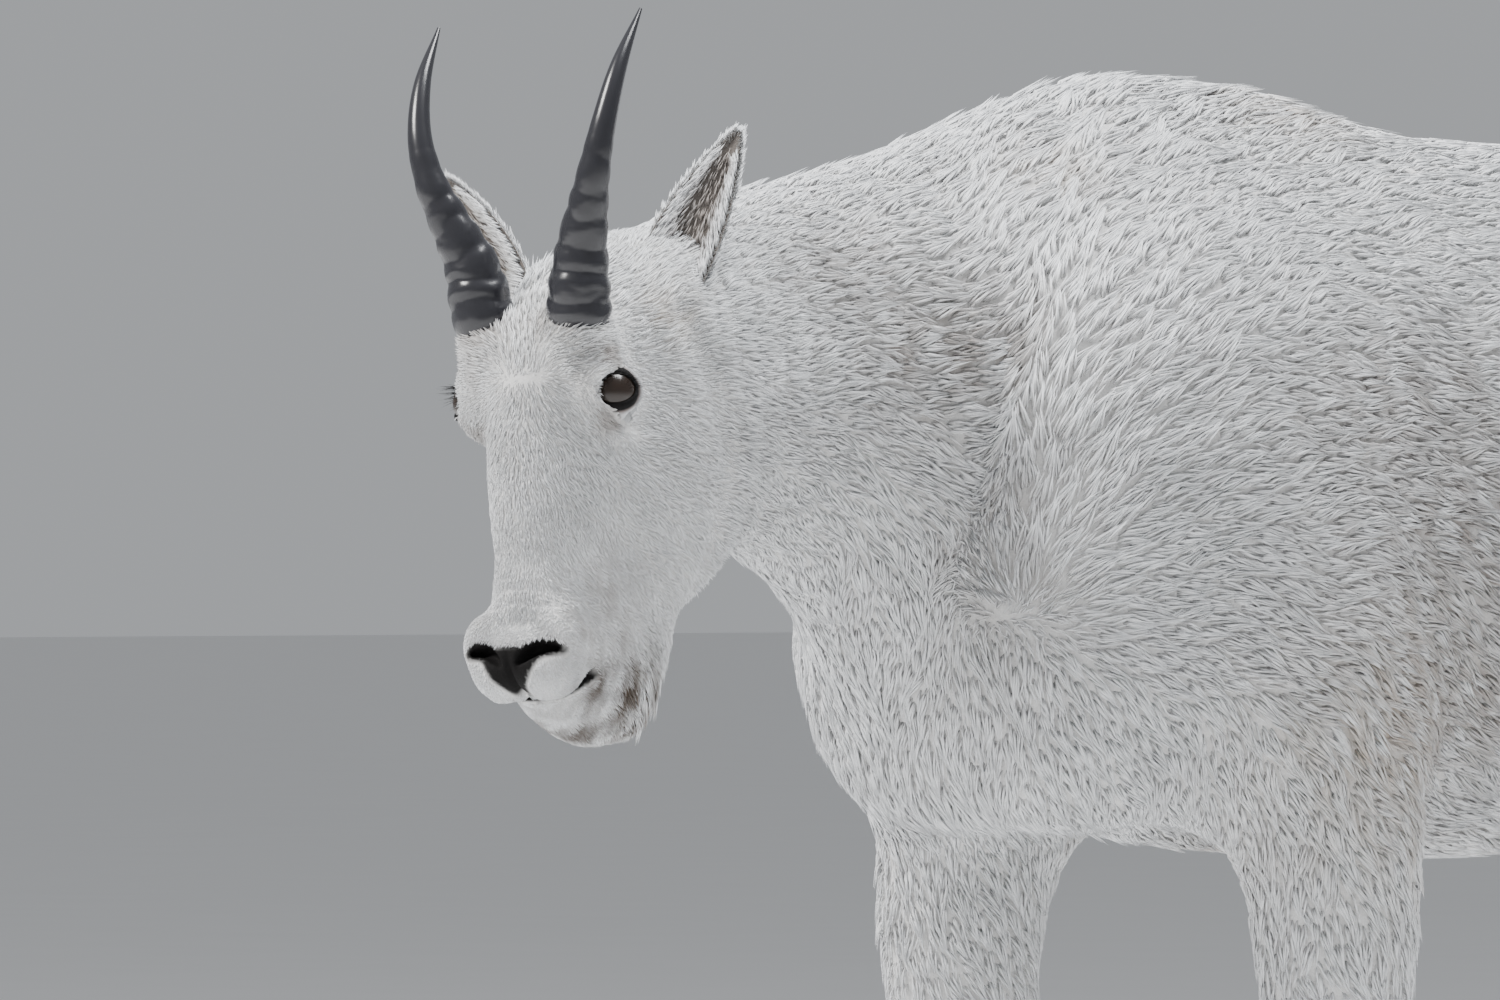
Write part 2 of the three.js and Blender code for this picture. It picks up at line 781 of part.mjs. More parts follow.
// An eye looks outwards, forwards and a little down
function eyeFrame(side) {
  const centre = fromHead((EYE_SPACING - 4) * side, -3, 1);
  const axis = fromHead(0.86 * side, 0.5, 0.06, 0).normalize();
  const corner = fromHead(-0.5 * side, 0.8, 0.32, 0); // towards the inner corner of the lids
  const across = corner.addScaledVector(axis, -corner.dot(axis)).normalize();
  const up = axis.clone().cross(across);
  if (up.dot(headDown) > 0) up.negate();
  return { centre, axis, across, up };
}

function eyeSolid(centre, radius) {
  return solidOfGeometry(new THREE.SphereGeometry(radius, 14, 9).translate(centre.x, centre.y, centre.z));
}

const LID = { wide: 13.2, high: 11, out: 14.5, thick: 2.8 };
for (const [name, side] of Object.entries(SIDES)) {
  const { centre, axis, across, up } = eyeFrame(side);
  const opening = loft(
    [
      [4, 10, 9],
      [17, LID.wide - 1, LID.high - 1],
      [34, LID.wide + 9, LID.high + 8],
    ].map(([out, ra, rb]) => ovalRing(centre.clone().addScaledVector(axis, out), across, up, ra, rb, 12)),
  );
  const lid = loft(
    [...Array(15).keys()].map((n) => {
      const angle = (n / 15) * 2 * Math.PI;
      const rim = across
        .clone()
        .multiplyScalar(Math.cos(angle) * LID.wide)
        .addScaledVector(up, Math.sin(angle) * LID.high);
      const at = centre.clone().addScaledVector(axis, LID.out - 2.2 * Math.abs(Math.cos(angle))).add(rim);
      const thick = LID.thick * (Math.sin(angle) > 0 ? 1.15 : 0.95);
      return ovalRing(at, rim.clone().normalize(), axis, thick, thick, 5);
    }),
    true,
  );
  head = head.subtract(opening).add(lid).subtract(eyeSolid(centre, EYE_RADIUS + 0.4));
  addNode(`eye_${name}`, eyeSolid(centre, EYE_RADIUS), EYE_COLOUR, 0.1);
}

// The mouth: a narrow cleft from corner to corner, with a lip on each side of it
const mouthCentre = fromHead(0, -27, 157);
const mouthForward = fromHead(0, 0.64, 0.77, 0).normalize();
const mouthUp = headLeft.clone().cross(mouthForward);
if (mouthUp.dot(headDown) > 0) mouthUp.negate();

function mouthRim(angle) {
  const run = mouthForward.clone().multiplyScalar(Math.cos(angle)).addScaledVector(headLeft, Math.sin(angle));
  let near = 0;
  let far = 90;
  for (let turn = 0; turn < 24; turn++) {
    const middle = (near + far) / 2;
    const p = mouthCentre.clone().addScaledVector(run, middle);
    if (wholeField(p.x, p.y, p.z) < 0) near = middle;
    else far = middle;
  }
  return { run, at: mouthCentre.clone().addScaledVector(run, near) };
}

function mouthBand(shift, inner, outer, innerHalf, outerHalf, reach) {
  const count = 13;
  return loft(
    [...Array(count).keys()].map((n) => {
      const { run, at } = mouthRim(reach * ((2 * n) / (count - 1) - 1));
      const point = (out, up) => at.clone().addScaledVector(run, out).addScaledVector(mouthUp, shift + up);
      return [
        point(inner, -innerHalf),
        point(outer, -outerHalf),
        point(outer, outerHalf),
        point(inner, innerHalf),
      ];
    }),
  );
}
const MOUTH_REACH = THREE.MathUtils.degToRad(90);
head = head
  .add(mouthBand(0, -6, 2.2, 7, 4, MOUTH_REACH * 0.93))
  .subtract(mouthBand(0, -5, 5, 0.7, 1.6, MOUTH_REACH));

// The nostrils: comma-shaped, from near the midline out and down round the wing
const NOSTRIL_LINE = [
  [5, 22, 170, 1.4],
  [11, 22, 163, 3.6],
  [19, 20, 158, 4.8],
  [28, 14, 157, 3.8],
  [34, 5, 160, 1.2],
];
for (const side of Object.values(SIDES)) {
  head = head.subtract(
    loft(
      NOSTRIL_LINE.map(([a, t, s, radius], n) => {
        const before = NOSTRIL_LINE[Math.max(n - 1, 0)];
        const after = NOSTRIL_LINE[Math.min(n + 1, NOSTRIL_LINE.length - 1)];
        const [da, dt, ds] = [0, 1, 2].map((m) => after[m] - before[m]);
        const run = fromHead(da * side, dt, ds, 0).normalize();
        const out = fromHead(0.45 * side, 0.85, -0.1, 0);
        out.addScaledVector(run, -out.dot(run)).normalize();
        return ovalRing(fromHead(a * side, t, s), run.clone().cross(out), out, radius, radius * 2.1, 6);
      }),
    ),
  );
}
head = largest(head);
addNode("head", head, COAT);
const headSkin = grown(head, GAP + 0.1);

// Horns: curved forwards, outwards and then back, ringed on the lower half

const HORN_LINE = [
  [28, 4, -22, 15],
  [33, 18, -48, 18.3],
  [38, 27, -76, 15.6],
  [48, 39, -102, 11.8],
  [57, 48, -125, 9.2],
  [64, 51, -153, 7.3],
  [68, 44, -187, 5.1],
  [70, 25, -226, 1.0],
];
for (const [name, side] of Object.entries(SIDES)) {
  const centres = new THREE.CatmullRomCurve3(HORN_LINE.map(([a, t, s]) => fromHead(a * side, t, s)));
  const sizes = new THREE.CatmullRomCurve3(HORN_LINE.map(([, , , radius]) => V(radius, 0, 0)));
  const rings = [];
  const count = 19;
  for (let n = 0; n < count; n++) {
    const share = (n / count) * 0.98;
    const tangent = centres.getTangent(share);
    const across = headLeft.clone().addScaledVector(tangent, -headLeft.dot(tangent)).normalize();
    const ridge = share > 0.12 && share < 0.62 && n % 2 ? 0.7 * (1 - share) : 0;
    const radius = sizes.getPoint(share).x + ridge;
    const out = tangent.clone().cross(across);
    rings.push(ovalRing(centres.getPoint(share), across, out, radius * 0.96, radius * 1.04, 10));
  }
  rings.push([centres.getPoint(1)]);
  addNode(`horn_${name}`, largest(loft(rings).subtract(headSkin)), HORN_COLOUR, 0.4);
}

// Ears: a root, then a leaf rolled into a cup that opens forwards and outwards

const EARS = {
  left: { root: [40, -54, -51], tip: [79, -82, -178], open: [0.3, 0.95, 0], width: 46 },
  right: { root: [-49, -56, -57], tip: [-128, -80, -164], open: [-0.2, 0.95, -0.3], width: 47 },
};
for (const [name, { root, tip, open, width }] of Object.entries(EARS)) {
  const from = fromHead(...root);
  const to = fromHead(...tip);
  const run = to.clone().sub(from).normalize();
  const front = fromHead(...open, 0);
  front.addScaledVector(run, -front.dot(run)).normalize();
  const across = run.clone().cross(front);
  const length = from.distanceTo(to);
  const ring = (share) => {
    const outline = Math.sin(Math.PI * Math.min(0.28 + 0.72 * share, 0.985)) ** 0.8;
    const half = (width / 2) * outline * (share < 0.2 ? 0.7 + 1.5 * share : 1);
    const depth = 15 * (1 - share) ** 0.7 + 2;
    const open = clamp((share - 0.1) / 0.25, 0, 1); // how far the cup has opened
    const thick = lerp(13, 2.4, clamp(share / 0.4, 0, 1));
    const at = from.clone().addScaledVector(run, length * share).addScaledVector(front, -6 * share * share);
    const point = (v, lift) =>
      at
        .clone()
        .addScaledVector(across, half * v)
        .addScaledVector(front, -depth * (1 - v * v) + depth / 2 + lift);
    const back = [-1, -0.66, -0.33, 0, 0.33, 0.66, 1].map((v) => point(v, 0));
    const inner = [0.78, 0.4, 0, -0.4, -0.78].map((v) => {
      const filled = lerp(depth * 1.1 * (1 - v * v), thick * 0.8, open);
      return point(v * 0.96, filled + thick * 0.2);
    });
    return [...back, ...inner];
  };
  const rings = [0, 0.1, 0.2, 0.32, 0.46, 0.6, 0.74, 0.87, 0.96].map(ring);
  const leaf = loft([...rings, [to.clone().addScaledVector(front, -6)]]);
  addNode(`ear_${name}`, largest(leaf.subtract(headSkin)), EAR_COLOUR);
}

// Legs and hooves

// A claw's outline at one level: flat towards the cleft, pointed at the toe
function clawRing(centre, inward, z, toe, heel, half) {
  const sides = 12;
  return [...Array(sides).keys()].map((n) => {
    const angle = ((n + 0.5) / sides) * 2 * Math.PI;
    const side = Math.sin(angle);
    const along = Math.cos(angle);
    const narrow = along > 0 ? 1 - 0.35 * along * along : 1;
    const wide = side * inward > 0 ? 0.82 : 1;
    return V(centre.x + half * side * narrow * wide, centre.y - (along > 0 ? toe * along : heel * along), z);
  });
}

const LEG_STEP = [19, 19, 32];
for (const [name, side] of Object.entries(SIDES)) {
  const feet = {
    foreleg: { x: 107 * side, y: FOREFOOT[name] - 34, legY: FOREFOOT[name] },
    hindleg: { x: 103 * side, y: HINDFOOT[name] - 42, legY: HINDFOOT[name] },
  };
  for (const [kind, { x, y, legY }] of Object.entries(feet)) {
    const low = V(x - 90, legY - 150, 10);
    const high = V(x + 90, legY + 120, 520);
    let leg = fleshPiece(low, high, LEG_STEP, [facing(legPlane), hoofPlane]);
    for (const turn of [-1, 1]) {
      const dewclaw = loft([
        ovalRing(V(x + 15 * turn, y + 42, 92), V(1, 0, 0), V(0, 0.45, 0.9), 9, 11, 6),
        ovalRing(V(x + 17 * turn, y + 66, 78), V(1, 0, 0), V(0, 0.45, 0.9), 9, 10, 6),
        ovalRing(V(x + 18 * turn, y + 72, 66), V(1, 0, 0), V(0, 0.45, 0.9), 4, 5, 6),
      ]);
      leg = leg.add(dewclaw);
      const centre = V(x + turn * (CLAW_WIDTH / 2 + CLEFT / 2), y, 0);
      const half = CLAW_WIDTH / 2;
      const claw = loft([
        clawRing(centre, -turn, 0, CLAW_LENGTH * 0.6, CLAW_LENGTH * 0.38, half - 1.5),
        clawRing(centre, -turn, 5, CLAW_LENGTH * 0.61, CLAW_LENGTH * 0.4, half),
        clawRing(centre, -turn, 30, CLAW_LENGTH * 0.5, CLAW_LENGTH * 0.4, half - 0.5),
        clawRing(centre, -turn, HOOF_TOP - GAP / 2, CLAW_LENGTH * 0.4, CLAW_LENGTH * 0.36, half - 3),
      ]);
      addNode(`claw_${kind}_${name}_${turn * side > 0 ? "outer" : "inner"}`, claw, HOOF_COLOUR, 0.5);
    }
    addNode(`${kind}_${name}`, largest(leg), COAT);
  }
}

// The group, with its origin on the floor under the middle of its box

const box = nodes.reduce((sum, { solid }) => {
  const { min, max } = solid.boundingBox();
  return sum.expandByPoint(V(...min)).expandByPoint(V(...max));
}, new THREE.Box3());
const origin = V((box.min.x + box.max.x) / 2, (box.min.y + box.max.y) / 2, box.min.z);

const group = new THREE.Group();
for (const { name, solid, colour, roughness } of nodes) {
  const mesh = solid.getMesh();
  const position = new Float32Array((mesh.vertProperties.length / mesh.numProp) * 3);
  for (let n = 0; n * 3 < position.length; n++)
    for (let m = 0; m < 3; m++)
      position[n * 3 + m] = mesh.vertProperties[n * mesh.numProp + m] - origin.getComponent(m);
  const geometry = new THREE.BufferGeometry();
  geometry.setAttribute("position", new THREE.BufferAttribute(position, 3));
  geometry.setIndex([...mesh.triVerts]);
  geometry.computeVertexNormals();
  const material = new THREE.MeshStandardMaterial({ color: colour, roughness, metalness: 0 });
  const made = new THREE.Mesh(geometry, material);
  made.name = name;
  group.add(made);
}

export default group;
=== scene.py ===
"""A mountain goat billy in its short summer coat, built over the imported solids.

The goat faces -Y and its left is +X. Lengths are millimetres in the goat's own frame until a mesh is made,
which moves them into the row's frame and turns them into metres.
"""

import math

import bpy
import numpy as np
from bpy.props import FloatProperty, FloatVectorProperty, IntProperty, PointerProperty
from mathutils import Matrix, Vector
from mathutils.kdtree import KDTree


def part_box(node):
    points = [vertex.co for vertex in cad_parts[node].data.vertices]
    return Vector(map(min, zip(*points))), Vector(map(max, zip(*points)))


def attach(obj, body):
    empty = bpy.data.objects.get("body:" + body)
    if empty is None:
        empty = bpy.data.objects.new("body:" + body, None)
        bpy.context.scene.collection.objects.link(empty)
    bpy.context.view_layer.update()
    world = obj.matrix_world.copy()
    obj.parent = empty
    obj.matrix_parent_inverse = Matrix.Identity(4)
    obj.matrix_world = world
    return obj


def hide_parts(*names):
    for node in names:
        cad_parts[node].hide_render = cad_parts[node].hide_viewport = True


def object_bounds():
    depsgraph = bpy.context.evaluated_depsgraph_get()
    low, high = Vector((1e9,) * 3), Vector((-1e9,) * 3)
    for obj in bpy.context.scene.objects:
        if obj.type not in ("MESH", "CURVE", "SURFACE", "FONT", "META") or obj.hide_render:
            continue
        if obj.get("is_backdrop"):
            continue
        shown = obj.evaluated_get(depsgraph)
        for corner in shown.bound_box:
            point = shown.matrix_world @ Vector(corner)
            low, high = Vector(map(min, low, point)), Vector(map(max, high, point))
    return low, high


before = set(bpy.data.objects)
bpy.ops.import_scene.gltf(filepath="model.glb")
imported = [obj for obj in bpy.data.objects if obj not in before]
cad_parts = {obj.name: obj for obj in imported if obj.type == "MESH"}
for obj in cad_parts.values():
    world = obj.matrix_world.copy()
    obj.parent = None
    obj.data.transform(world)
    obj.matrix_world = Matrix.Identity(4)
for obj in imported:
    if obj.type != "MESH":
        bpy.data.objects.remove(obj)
FRAME_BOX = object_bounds()

bl_info = {
    "name": "Mountain goat",
    "version": (1, 0, 0),
    "blender": (4, 5, 0),
    "location": "3D View > Sidebar > Goat",
    "description": "Skin, coat, eyes, horns, ears and hooves of a standing mountain goat",
    "category": "Add Mesh",
}


# Small helpers

def vec(*values):
    return np.array(values, float)


def size_of(v):
    return np.sqrt((v * v).sum(-1))


def unit(v):
    return v / np.maximum(size_of(v), 1e-9)[..., None]


def ramp(x, low, high):
    share = np.clip((x - low) / (high - low), 0, 1)
    return share * share * (3 - 2 * share)


def mix(a, b, share):
    return a + (b - a) * share


def bump(p, centre, radii):
    """1 at a centre, falling to 0 past about twice the radii."""
    away = (p - np.asarray(centre, float)) / np.asarray(radii, float)
    return np.exp(-(away * away).sum(-1))


def ripple(p, length, seed):
    """Smooth repeatable waves of about that length, from about -1 to 1."""
    random = np.random.default_rng(seed)
    total = np.zeros(len(p))
    for _ in range(5):
        way = unit(random.normal(size=3)) * (2 * math.pi / length) * random.uniform(0.7, 1.4)
        total += np.sin(p @ way + random.uniform(0, 2 * math.pi))
    return total / 2.5


# The head's own frame: a to its left, t out of the face, s down the face from between the eyes

HEAD_CENTRE = vec(70, -698, 802)
HEAD_YAW = math.radians(25)
HEAD_PITCH = math.radians(78)
HEAD_LEAN = math.radians(4)
UP = vec(0, 0, 1)
forward = vec(math.sin(HEAD_YAW), -math.cos(HEAD_YAW), 0)
FACE_OUT = forward * math.sin(HEAD_PITCH) + UP * math.cos(HEAD_PITCH)
level = unit(np.cross(UP, forward))
down_face = forward * math.cos(HEAD_PITCH) - UP * math.sin(HEAD_PITCH)
HEAD_LEFT = level * math.cos(HEAD_LEAN) + np.cross(FACE_OUT, level) * math.sin(HEAD_LEAN)
HEAD_DOWN = down_face * math.cos(HEAD_LEAN) + np.cross(FACE_OUT, down_face) * math.sin(HEAD_LEAN)
HEAD_AXES = np.stack([HEAD_LEFT, FACE_OUT, HEAD_DOWN])


def from_head(a, t, s):
    return HEAD_CENTRE + vec(a, t, s) @ HEAD_AXES


def head_way(a, t, s):
    return vec(a, t, s) @ HEAD_AXES


def in_head(p):
    return (p - HEAD_CENTRE) @ HEAD_AXES.T


EYE_RADIUS = 16
EYE_PLACE = (45, -3, 1)  # the left eye's centre


def eye_centre(side):
    return from_head(EYE_PLACE[0] * side, EYE_PLACE[1], EYE_PLACE[2])


# The row's frame is the goat's, moved: the left eye is in both
low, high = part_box("eye_left")
ORIGIN = eye_centre(1) - np.array((low + high) / 2) * 1000


def to_row(p):
    return (np.asarray(p, float) - ORIGIN) / 1000


# Fields: distances that are negative inside, for rows of points

def ellipsoid(centre, radii, axes=None):
    centre, radii = np.asarray(centre, float), np.asarray(radii, float)

    def field(p):
        local = p - centre
        if axes is not None:
            local = local @ axes.T
        along = local / radii
        k0 = size_of(along)
        k1 = size_of(along / radii)
        return np.where(k1 < 1e-6, -radii.min(), k0 * (k0 - 1) / np.maximum(k1, 1e-6))

    return field


def smooth_line(points, splits):
    """Points along a smooth curve through the given ones, with any sizes they carry."""
    points = np.asarray(points, float)
    ends = np.vstack([2 * points[0] - points[1], points, 2 * points[-1] - points[-2]])
    made = []
    for i in range(len(points) - 1):
        p0, p1, p2, p3 = ends[i : i + 4]
        t0, t1 = (p2 - p0) / 2, (p3 - p1) / 2
        for n in range(splits):
            w = n / splits
            made.append(
                p1 + t0 * w + (-3 * p1 + 3 * p2 - 2 * t0 - t1) * w**2 + (2 * p1 - 2 * p2 + t0 + t1) * w**3
            )
    return np.array(made + [points[-1]])


FAR = 90  # past this a tube's own box gives its distance
TUBE_SPLITS = 3  # spans of a tube between two stations


def tube(stations, across=(1, 0, 0)):
    """A tube of oval section through stations of x, y, z, half width across and half depth."""
    line = smooth_line(stations, TUBE_SPLITS)
    across = np.asarray(across, float)
    reach = line[:, 3:5].max(1)[:, None]
    low, high = (line[:, :3] - reach).min(0), (line[:, :3] + reach).max(0)
    spans = []
    for a, b in zip(line[:-1], line[1:]):
        axis = b[:3] - a[:3]
        length = size_of(axis)
        axis = axis / length
        wide = unit(across - axis * (axis @ across))
        spans.append((a[:3], axis, length, wide, np.cross(axis, wide), a[3:5], b[3:5]))

    def field(p):
        value = size_of(np.maximum(np.maximum(low - p, p - high), 0))
        near = value <= FAR
        q = p[near]
        nearest = np.full(len(q), 1e9)
        for start, axis, length, wide, deep, size_a, size_b in spans:
            rel = q - start
            run = rel @ axis
            share = np.clip(run / length, 0, 1)
            ra = mix(size_a[0], size_b[0], share)
            rb = mix(size_a[1], size_b[1], share)
            rc = np.minimum(ra, rb) * 0.8
            u, v, w = rel @ wide / ra, rel @ deep / rb, (run - share * length) / rc
            k0 = np.sqrt(u * u + v * v + w * w)
            k1 = np.sqrt((u / ra) ** 2 + (v / rb) ** 2 + (w / rc) ** 2)
            nearest = np.minimum(nearest, k0 * (k0 - 1) / np.maximum(k1, 1e-9))
        value[near] = nearest
        return value

    return field


def blended(a, b, width):
    near = np.maximum(width - np.abs(a - b), 0) / width
    return np.minimum(a, b) - near * near * width * 0.25


def joined(parts):
    def field(p):
        value = None
        for part, width in parts:
            value = part(p) if value is None else blended(value, part(p), width)
        return value

    return field


def slope_of(field, p, h=0.5):
    total = np.zeros_like(p)
    for corner in ((1, -1, -1), (-1, -1, 1), (-1, 1, -1), (1, 1, 1)):
        way = vec(*corner)
        total += field(p + way * h)[:, None] * way
    return total / (4 * h)


def settled(field, p, reach=1e9, turns=2):
    """Points moved onto a field's surface, by at most reach a turn."""
    for _ in range(turns):
        slope = slope_of(field, p)
        move = slope * (-field(p) / np.maximum((slope * slope).sum(-1), 0.05))[:, None]
        move *= np.minimum(reach / np.maximum(size_of(move), 1e-9), 1)[:, None]
        p = p + move
    return p


# The goat's body, from the same named stations as the solids

TRUNK_LINE = [
    (-365, 898, 600, 96),
    (-300, 952, 552, 130),
    (-200, 980, 522, 150),
    (-100, 979, 512, 162),
    (0, 972, 510, 170),
    (120, 966, 518, 173),
    (240, 954, 548, 166),
    (335, 923, 590, 150),
    (400, 874, 640, 118),
]
NECK_LINE = [
    (0, -270, 981, 600, 126),
    (0, -350, 970, 632, 112),
    (8, -430, 953, 668, 97),
    (24, -505, 937, 698, 84),
    (42, -570, 919, 708, 72),
    (54, -610, 903, 722, 60),
]
TAIL_LINE = [
    (0, 425, 862, 26, 30),
    (0, 470, 848, 28, 26),
    (0, 496, 812, 27, 22),
    (0, 505, 765, 20, 17),
    (0, 506, 735, 9, 8),
]
FOREFOOT = {1: -132, -1: -258}  # the y of each carpus
HINDFOOT = {1: 402, -1: 446}  # the y of each hock
SIDES = {"left": 1, "right": -1}


def foreleg(side):
    foot, x = FOREFOOT[side], 110 * side
    return [
        (ellipsoid((98 * side, -235, 720), (58, 112, 180)), 70),
        (ellipsoid((84 * side, -318, 640), (58, 62, 96)), 60),
        (
            tube(
                [
                    (x - 24 * side, mix(-210, foot, 0.3), 760, 56, 96),
                    (x + 2 * side, mix(-195, foot, 0.5), 650, 60, 92),
                    (x + 4 * side, mix(-190, foot, 0.75), 560, 55, 76),
                    (x, foot - 2, 480, 50, 62),
                    (x - 2 * side, foot, 390, 42, 50),
                    (x - 3 * side, foot - 4, 300, 35, 42),
                    (x - 4 * side, foot - 4, 265, 32, 38),
                    (x - 4 * side, foot - 3, 190, 25, 30),
                    (x - 4 * side, foot - 8, 105, 31, 37),
                    (x - 3 * side, foot - 26, 62, 32, 37),
                    (x - 3 * side, foot - 34, 36, 34, 40),
                ]
            ),
            45,
        ),
    ]


def hindleg(side):
    foot, x = HINDFOOT[side], 104 * side
    return [
        (ellipsoid((92 * side, 318, 740), (66, 122, 150)), 70),
        (
            tube(
                [
                    (x - 12 * side, mix(330, foot, 0.1), 700, 66, 126),
                    (x, mix(285, foot, 0.2), 600, 64, 104),
                    (x + 3 * side, mix(285, foot, 0.45), 520, 55, 80),
                    (x + 2 * side, foot - 62, 440, 41, 58),
                    (x, foot - 14, 375, 31, 46),
                    (x - 1 * side, foot, 335, 27, 41),
                    (x - 2 * side, foot - 6, 250, 24, 32),
                    (x - 2 * side, foot - 12, 180, 24, 30),
                    (x - 2 * side, foot - 16, 105, 30, 36),
                    (x - 1 * side, foot - 34, 62, 31, 36),
                    (x - 1 * side, foot - 42, 36, 33, 39),
                ]
            ),
            45,
        ),
    ]


def upright(line):
    """Stations of y, top, bottom, half width, with an x before them or 0, as a tube's."""
    rows = [(0,) + tuple(row) if len(row) == 4 else row for row in line]
    return [(x, y, (top + bottom) / 2, half, (top - bottom) / 2) for x, y, top, bottom, half in rows]


body_field = joined(
    [
        (tube(upright(TRUNK_LINE)), 1),
        (ellipsoid((0, -180, 888), (60, 150, 104)), 60),  # hump
        (tube(upright(NECK_LINE)), 70),
        (ellipsoid((0, -332, 650), (112, 66, 108)), 60),  # breast
        *foreleg(1),
        *foreleg(-1),
        *hindleg(1),
        *hindleg(-1),
        (tube(TAIL_LINE), 22),
    ]
)

# The head: stations down the face of s, front, back and half width
FACE_LINE = [
    (-72, -24, -140, 36),
    (-52, 4, -152, 47),
    (-28, 24, -156, 54),
    (0, 32, -152, 55),
    (30, 31, -148, 50),
    (60, 28, -148, 46),
    (85, 25, -150, 43),
    (110, 23, -143, 42),
    (135, 24, -129, 42),
    (152, 27, -114, 41),
    (163, 22, -97, 35),
]


def head_ball(a, t, s, radii):
    return ellipsoid(from_head(a, t, s), radii, HEAD_AXES)


def pair(a, t, s, radii, width):
    return [(head_ball(a, t, s, radii), width), (head_ball(-a, t, s, radii), width)]


face_tube = tube(
    [(*from_head(0, (front + back) / 2, s), half, (front - back) / 2) for s, front, back, half in FACE_LINE],
    HEAD_LEFT,
)
head_field = joined(
    [
        (face_tube, 1),
        *pair(42, -92, 40, (30, 54, 64), 30),  # cheeks
        *pair(44, 0, 0, (18, 22, 23), 16),  # orbits
        *pair(29, 10, -31, (25, 25, 24), 18),  # brow below the horns
        *pair(42, -58, -54, (16, 19, 16), 14),  # bases of the ears
        *pair(26, 6, 154, (15, 17, 19), 16),  # wings of the nostrils
        *pair(15, 4, 174, (17, 21, 14), 13),  # upper lip
        (head_ball(0, 14, 162, (18, 15, 14)), 12),  # nose
        (head_ball(0, -40, 177, (23, 25, 14)), 9),  # chin
    ]
)
whole_field = joined([(body_field, 1), (head_field, 34)])

HEAD_PLANE = (from_head(0, -132, -10), unit(head_way(0, -0.97, -0.24)))


def past_head(p):
    """Distance behind the plane where head and neck meet."""
    return (p - HEAD_PLANE[0]) @ HEAD_PLANE[1]


# How deep the skin lies under the coat's outline, and how long the coat is

def head_share(p):
    return 1 - ramp(past_head(p), -70, 50)


def coat_depth(p):
    z = p[:, 2]
    depth = 9 - 3.5 * (1 - ramp(z, 330, 520)) - 2.5 * (1 - ramp(z, 90, 300))
    face = mix(4.5, 1.6, ramp(in_head(p)[:, 2], -40, 70))
    return mix(depth, face, head_share(p))


# Places that change the length of the coat: centre, radii, millimetres added
LENGTHS = [
    ((0, -200, 985), (50, 150, 50), 18),
    ((0, 20, 950), (60, 120, 40), 5),
    ((0, -330, 560), (60, 80, 60), 14),
    ((0, 90, 510), (90, 170, 45), 16),
    ((0, 450, 700), (130, 50, 120), 18),
    ((0, 505, 780), (40, 40, 60), 26),
    ((0, -480, 930), (40, 90, 30), 3),
]
HEAD_LENGTHS = [
    ((0, 5, -66), (40, 30, 22), 9),
    ((0, -110, 130), (30, 34, 44), 8),
    ((0, -60, 188), (20, 22, 18), 5),
    ((30, -92, 166), (22, 34, 24), 15),
    ((-30, -92, 166), (22, 34, 24), 15),
    ((46, 10, 2), (20, 24, 20), -8),
    ((-46, 10, 2), (20, 24, 20), -8),
]


def coat_length(p):
    z = p[:, 2]
    h = in_head(p)
    body = 20 - 5 * (1 - ramp(z, 330, 520)) - 3 * (1 - ramp(z, 120, 300))
    body -= 4 * ramp(-p[:, 1], 420, 560)
    for centre, radii, more in LENGTHS:
        body += more * bump(p, centre, radii)
    face = 11 - 4.5 * ramp(h[:, 2], 20, 110) - 3 * ramp(h[:, 2] + 0.35 * h[:, 1], 128, 168)
    face += 4 * ramp(-h[:, 1], 40, 110)
    for centre, radii, more in HEAD_LENGTHS:
        face += more * bump(h, centre, radii)
    return np.maximum(mix(body, face, head_share(p)), 2.2)


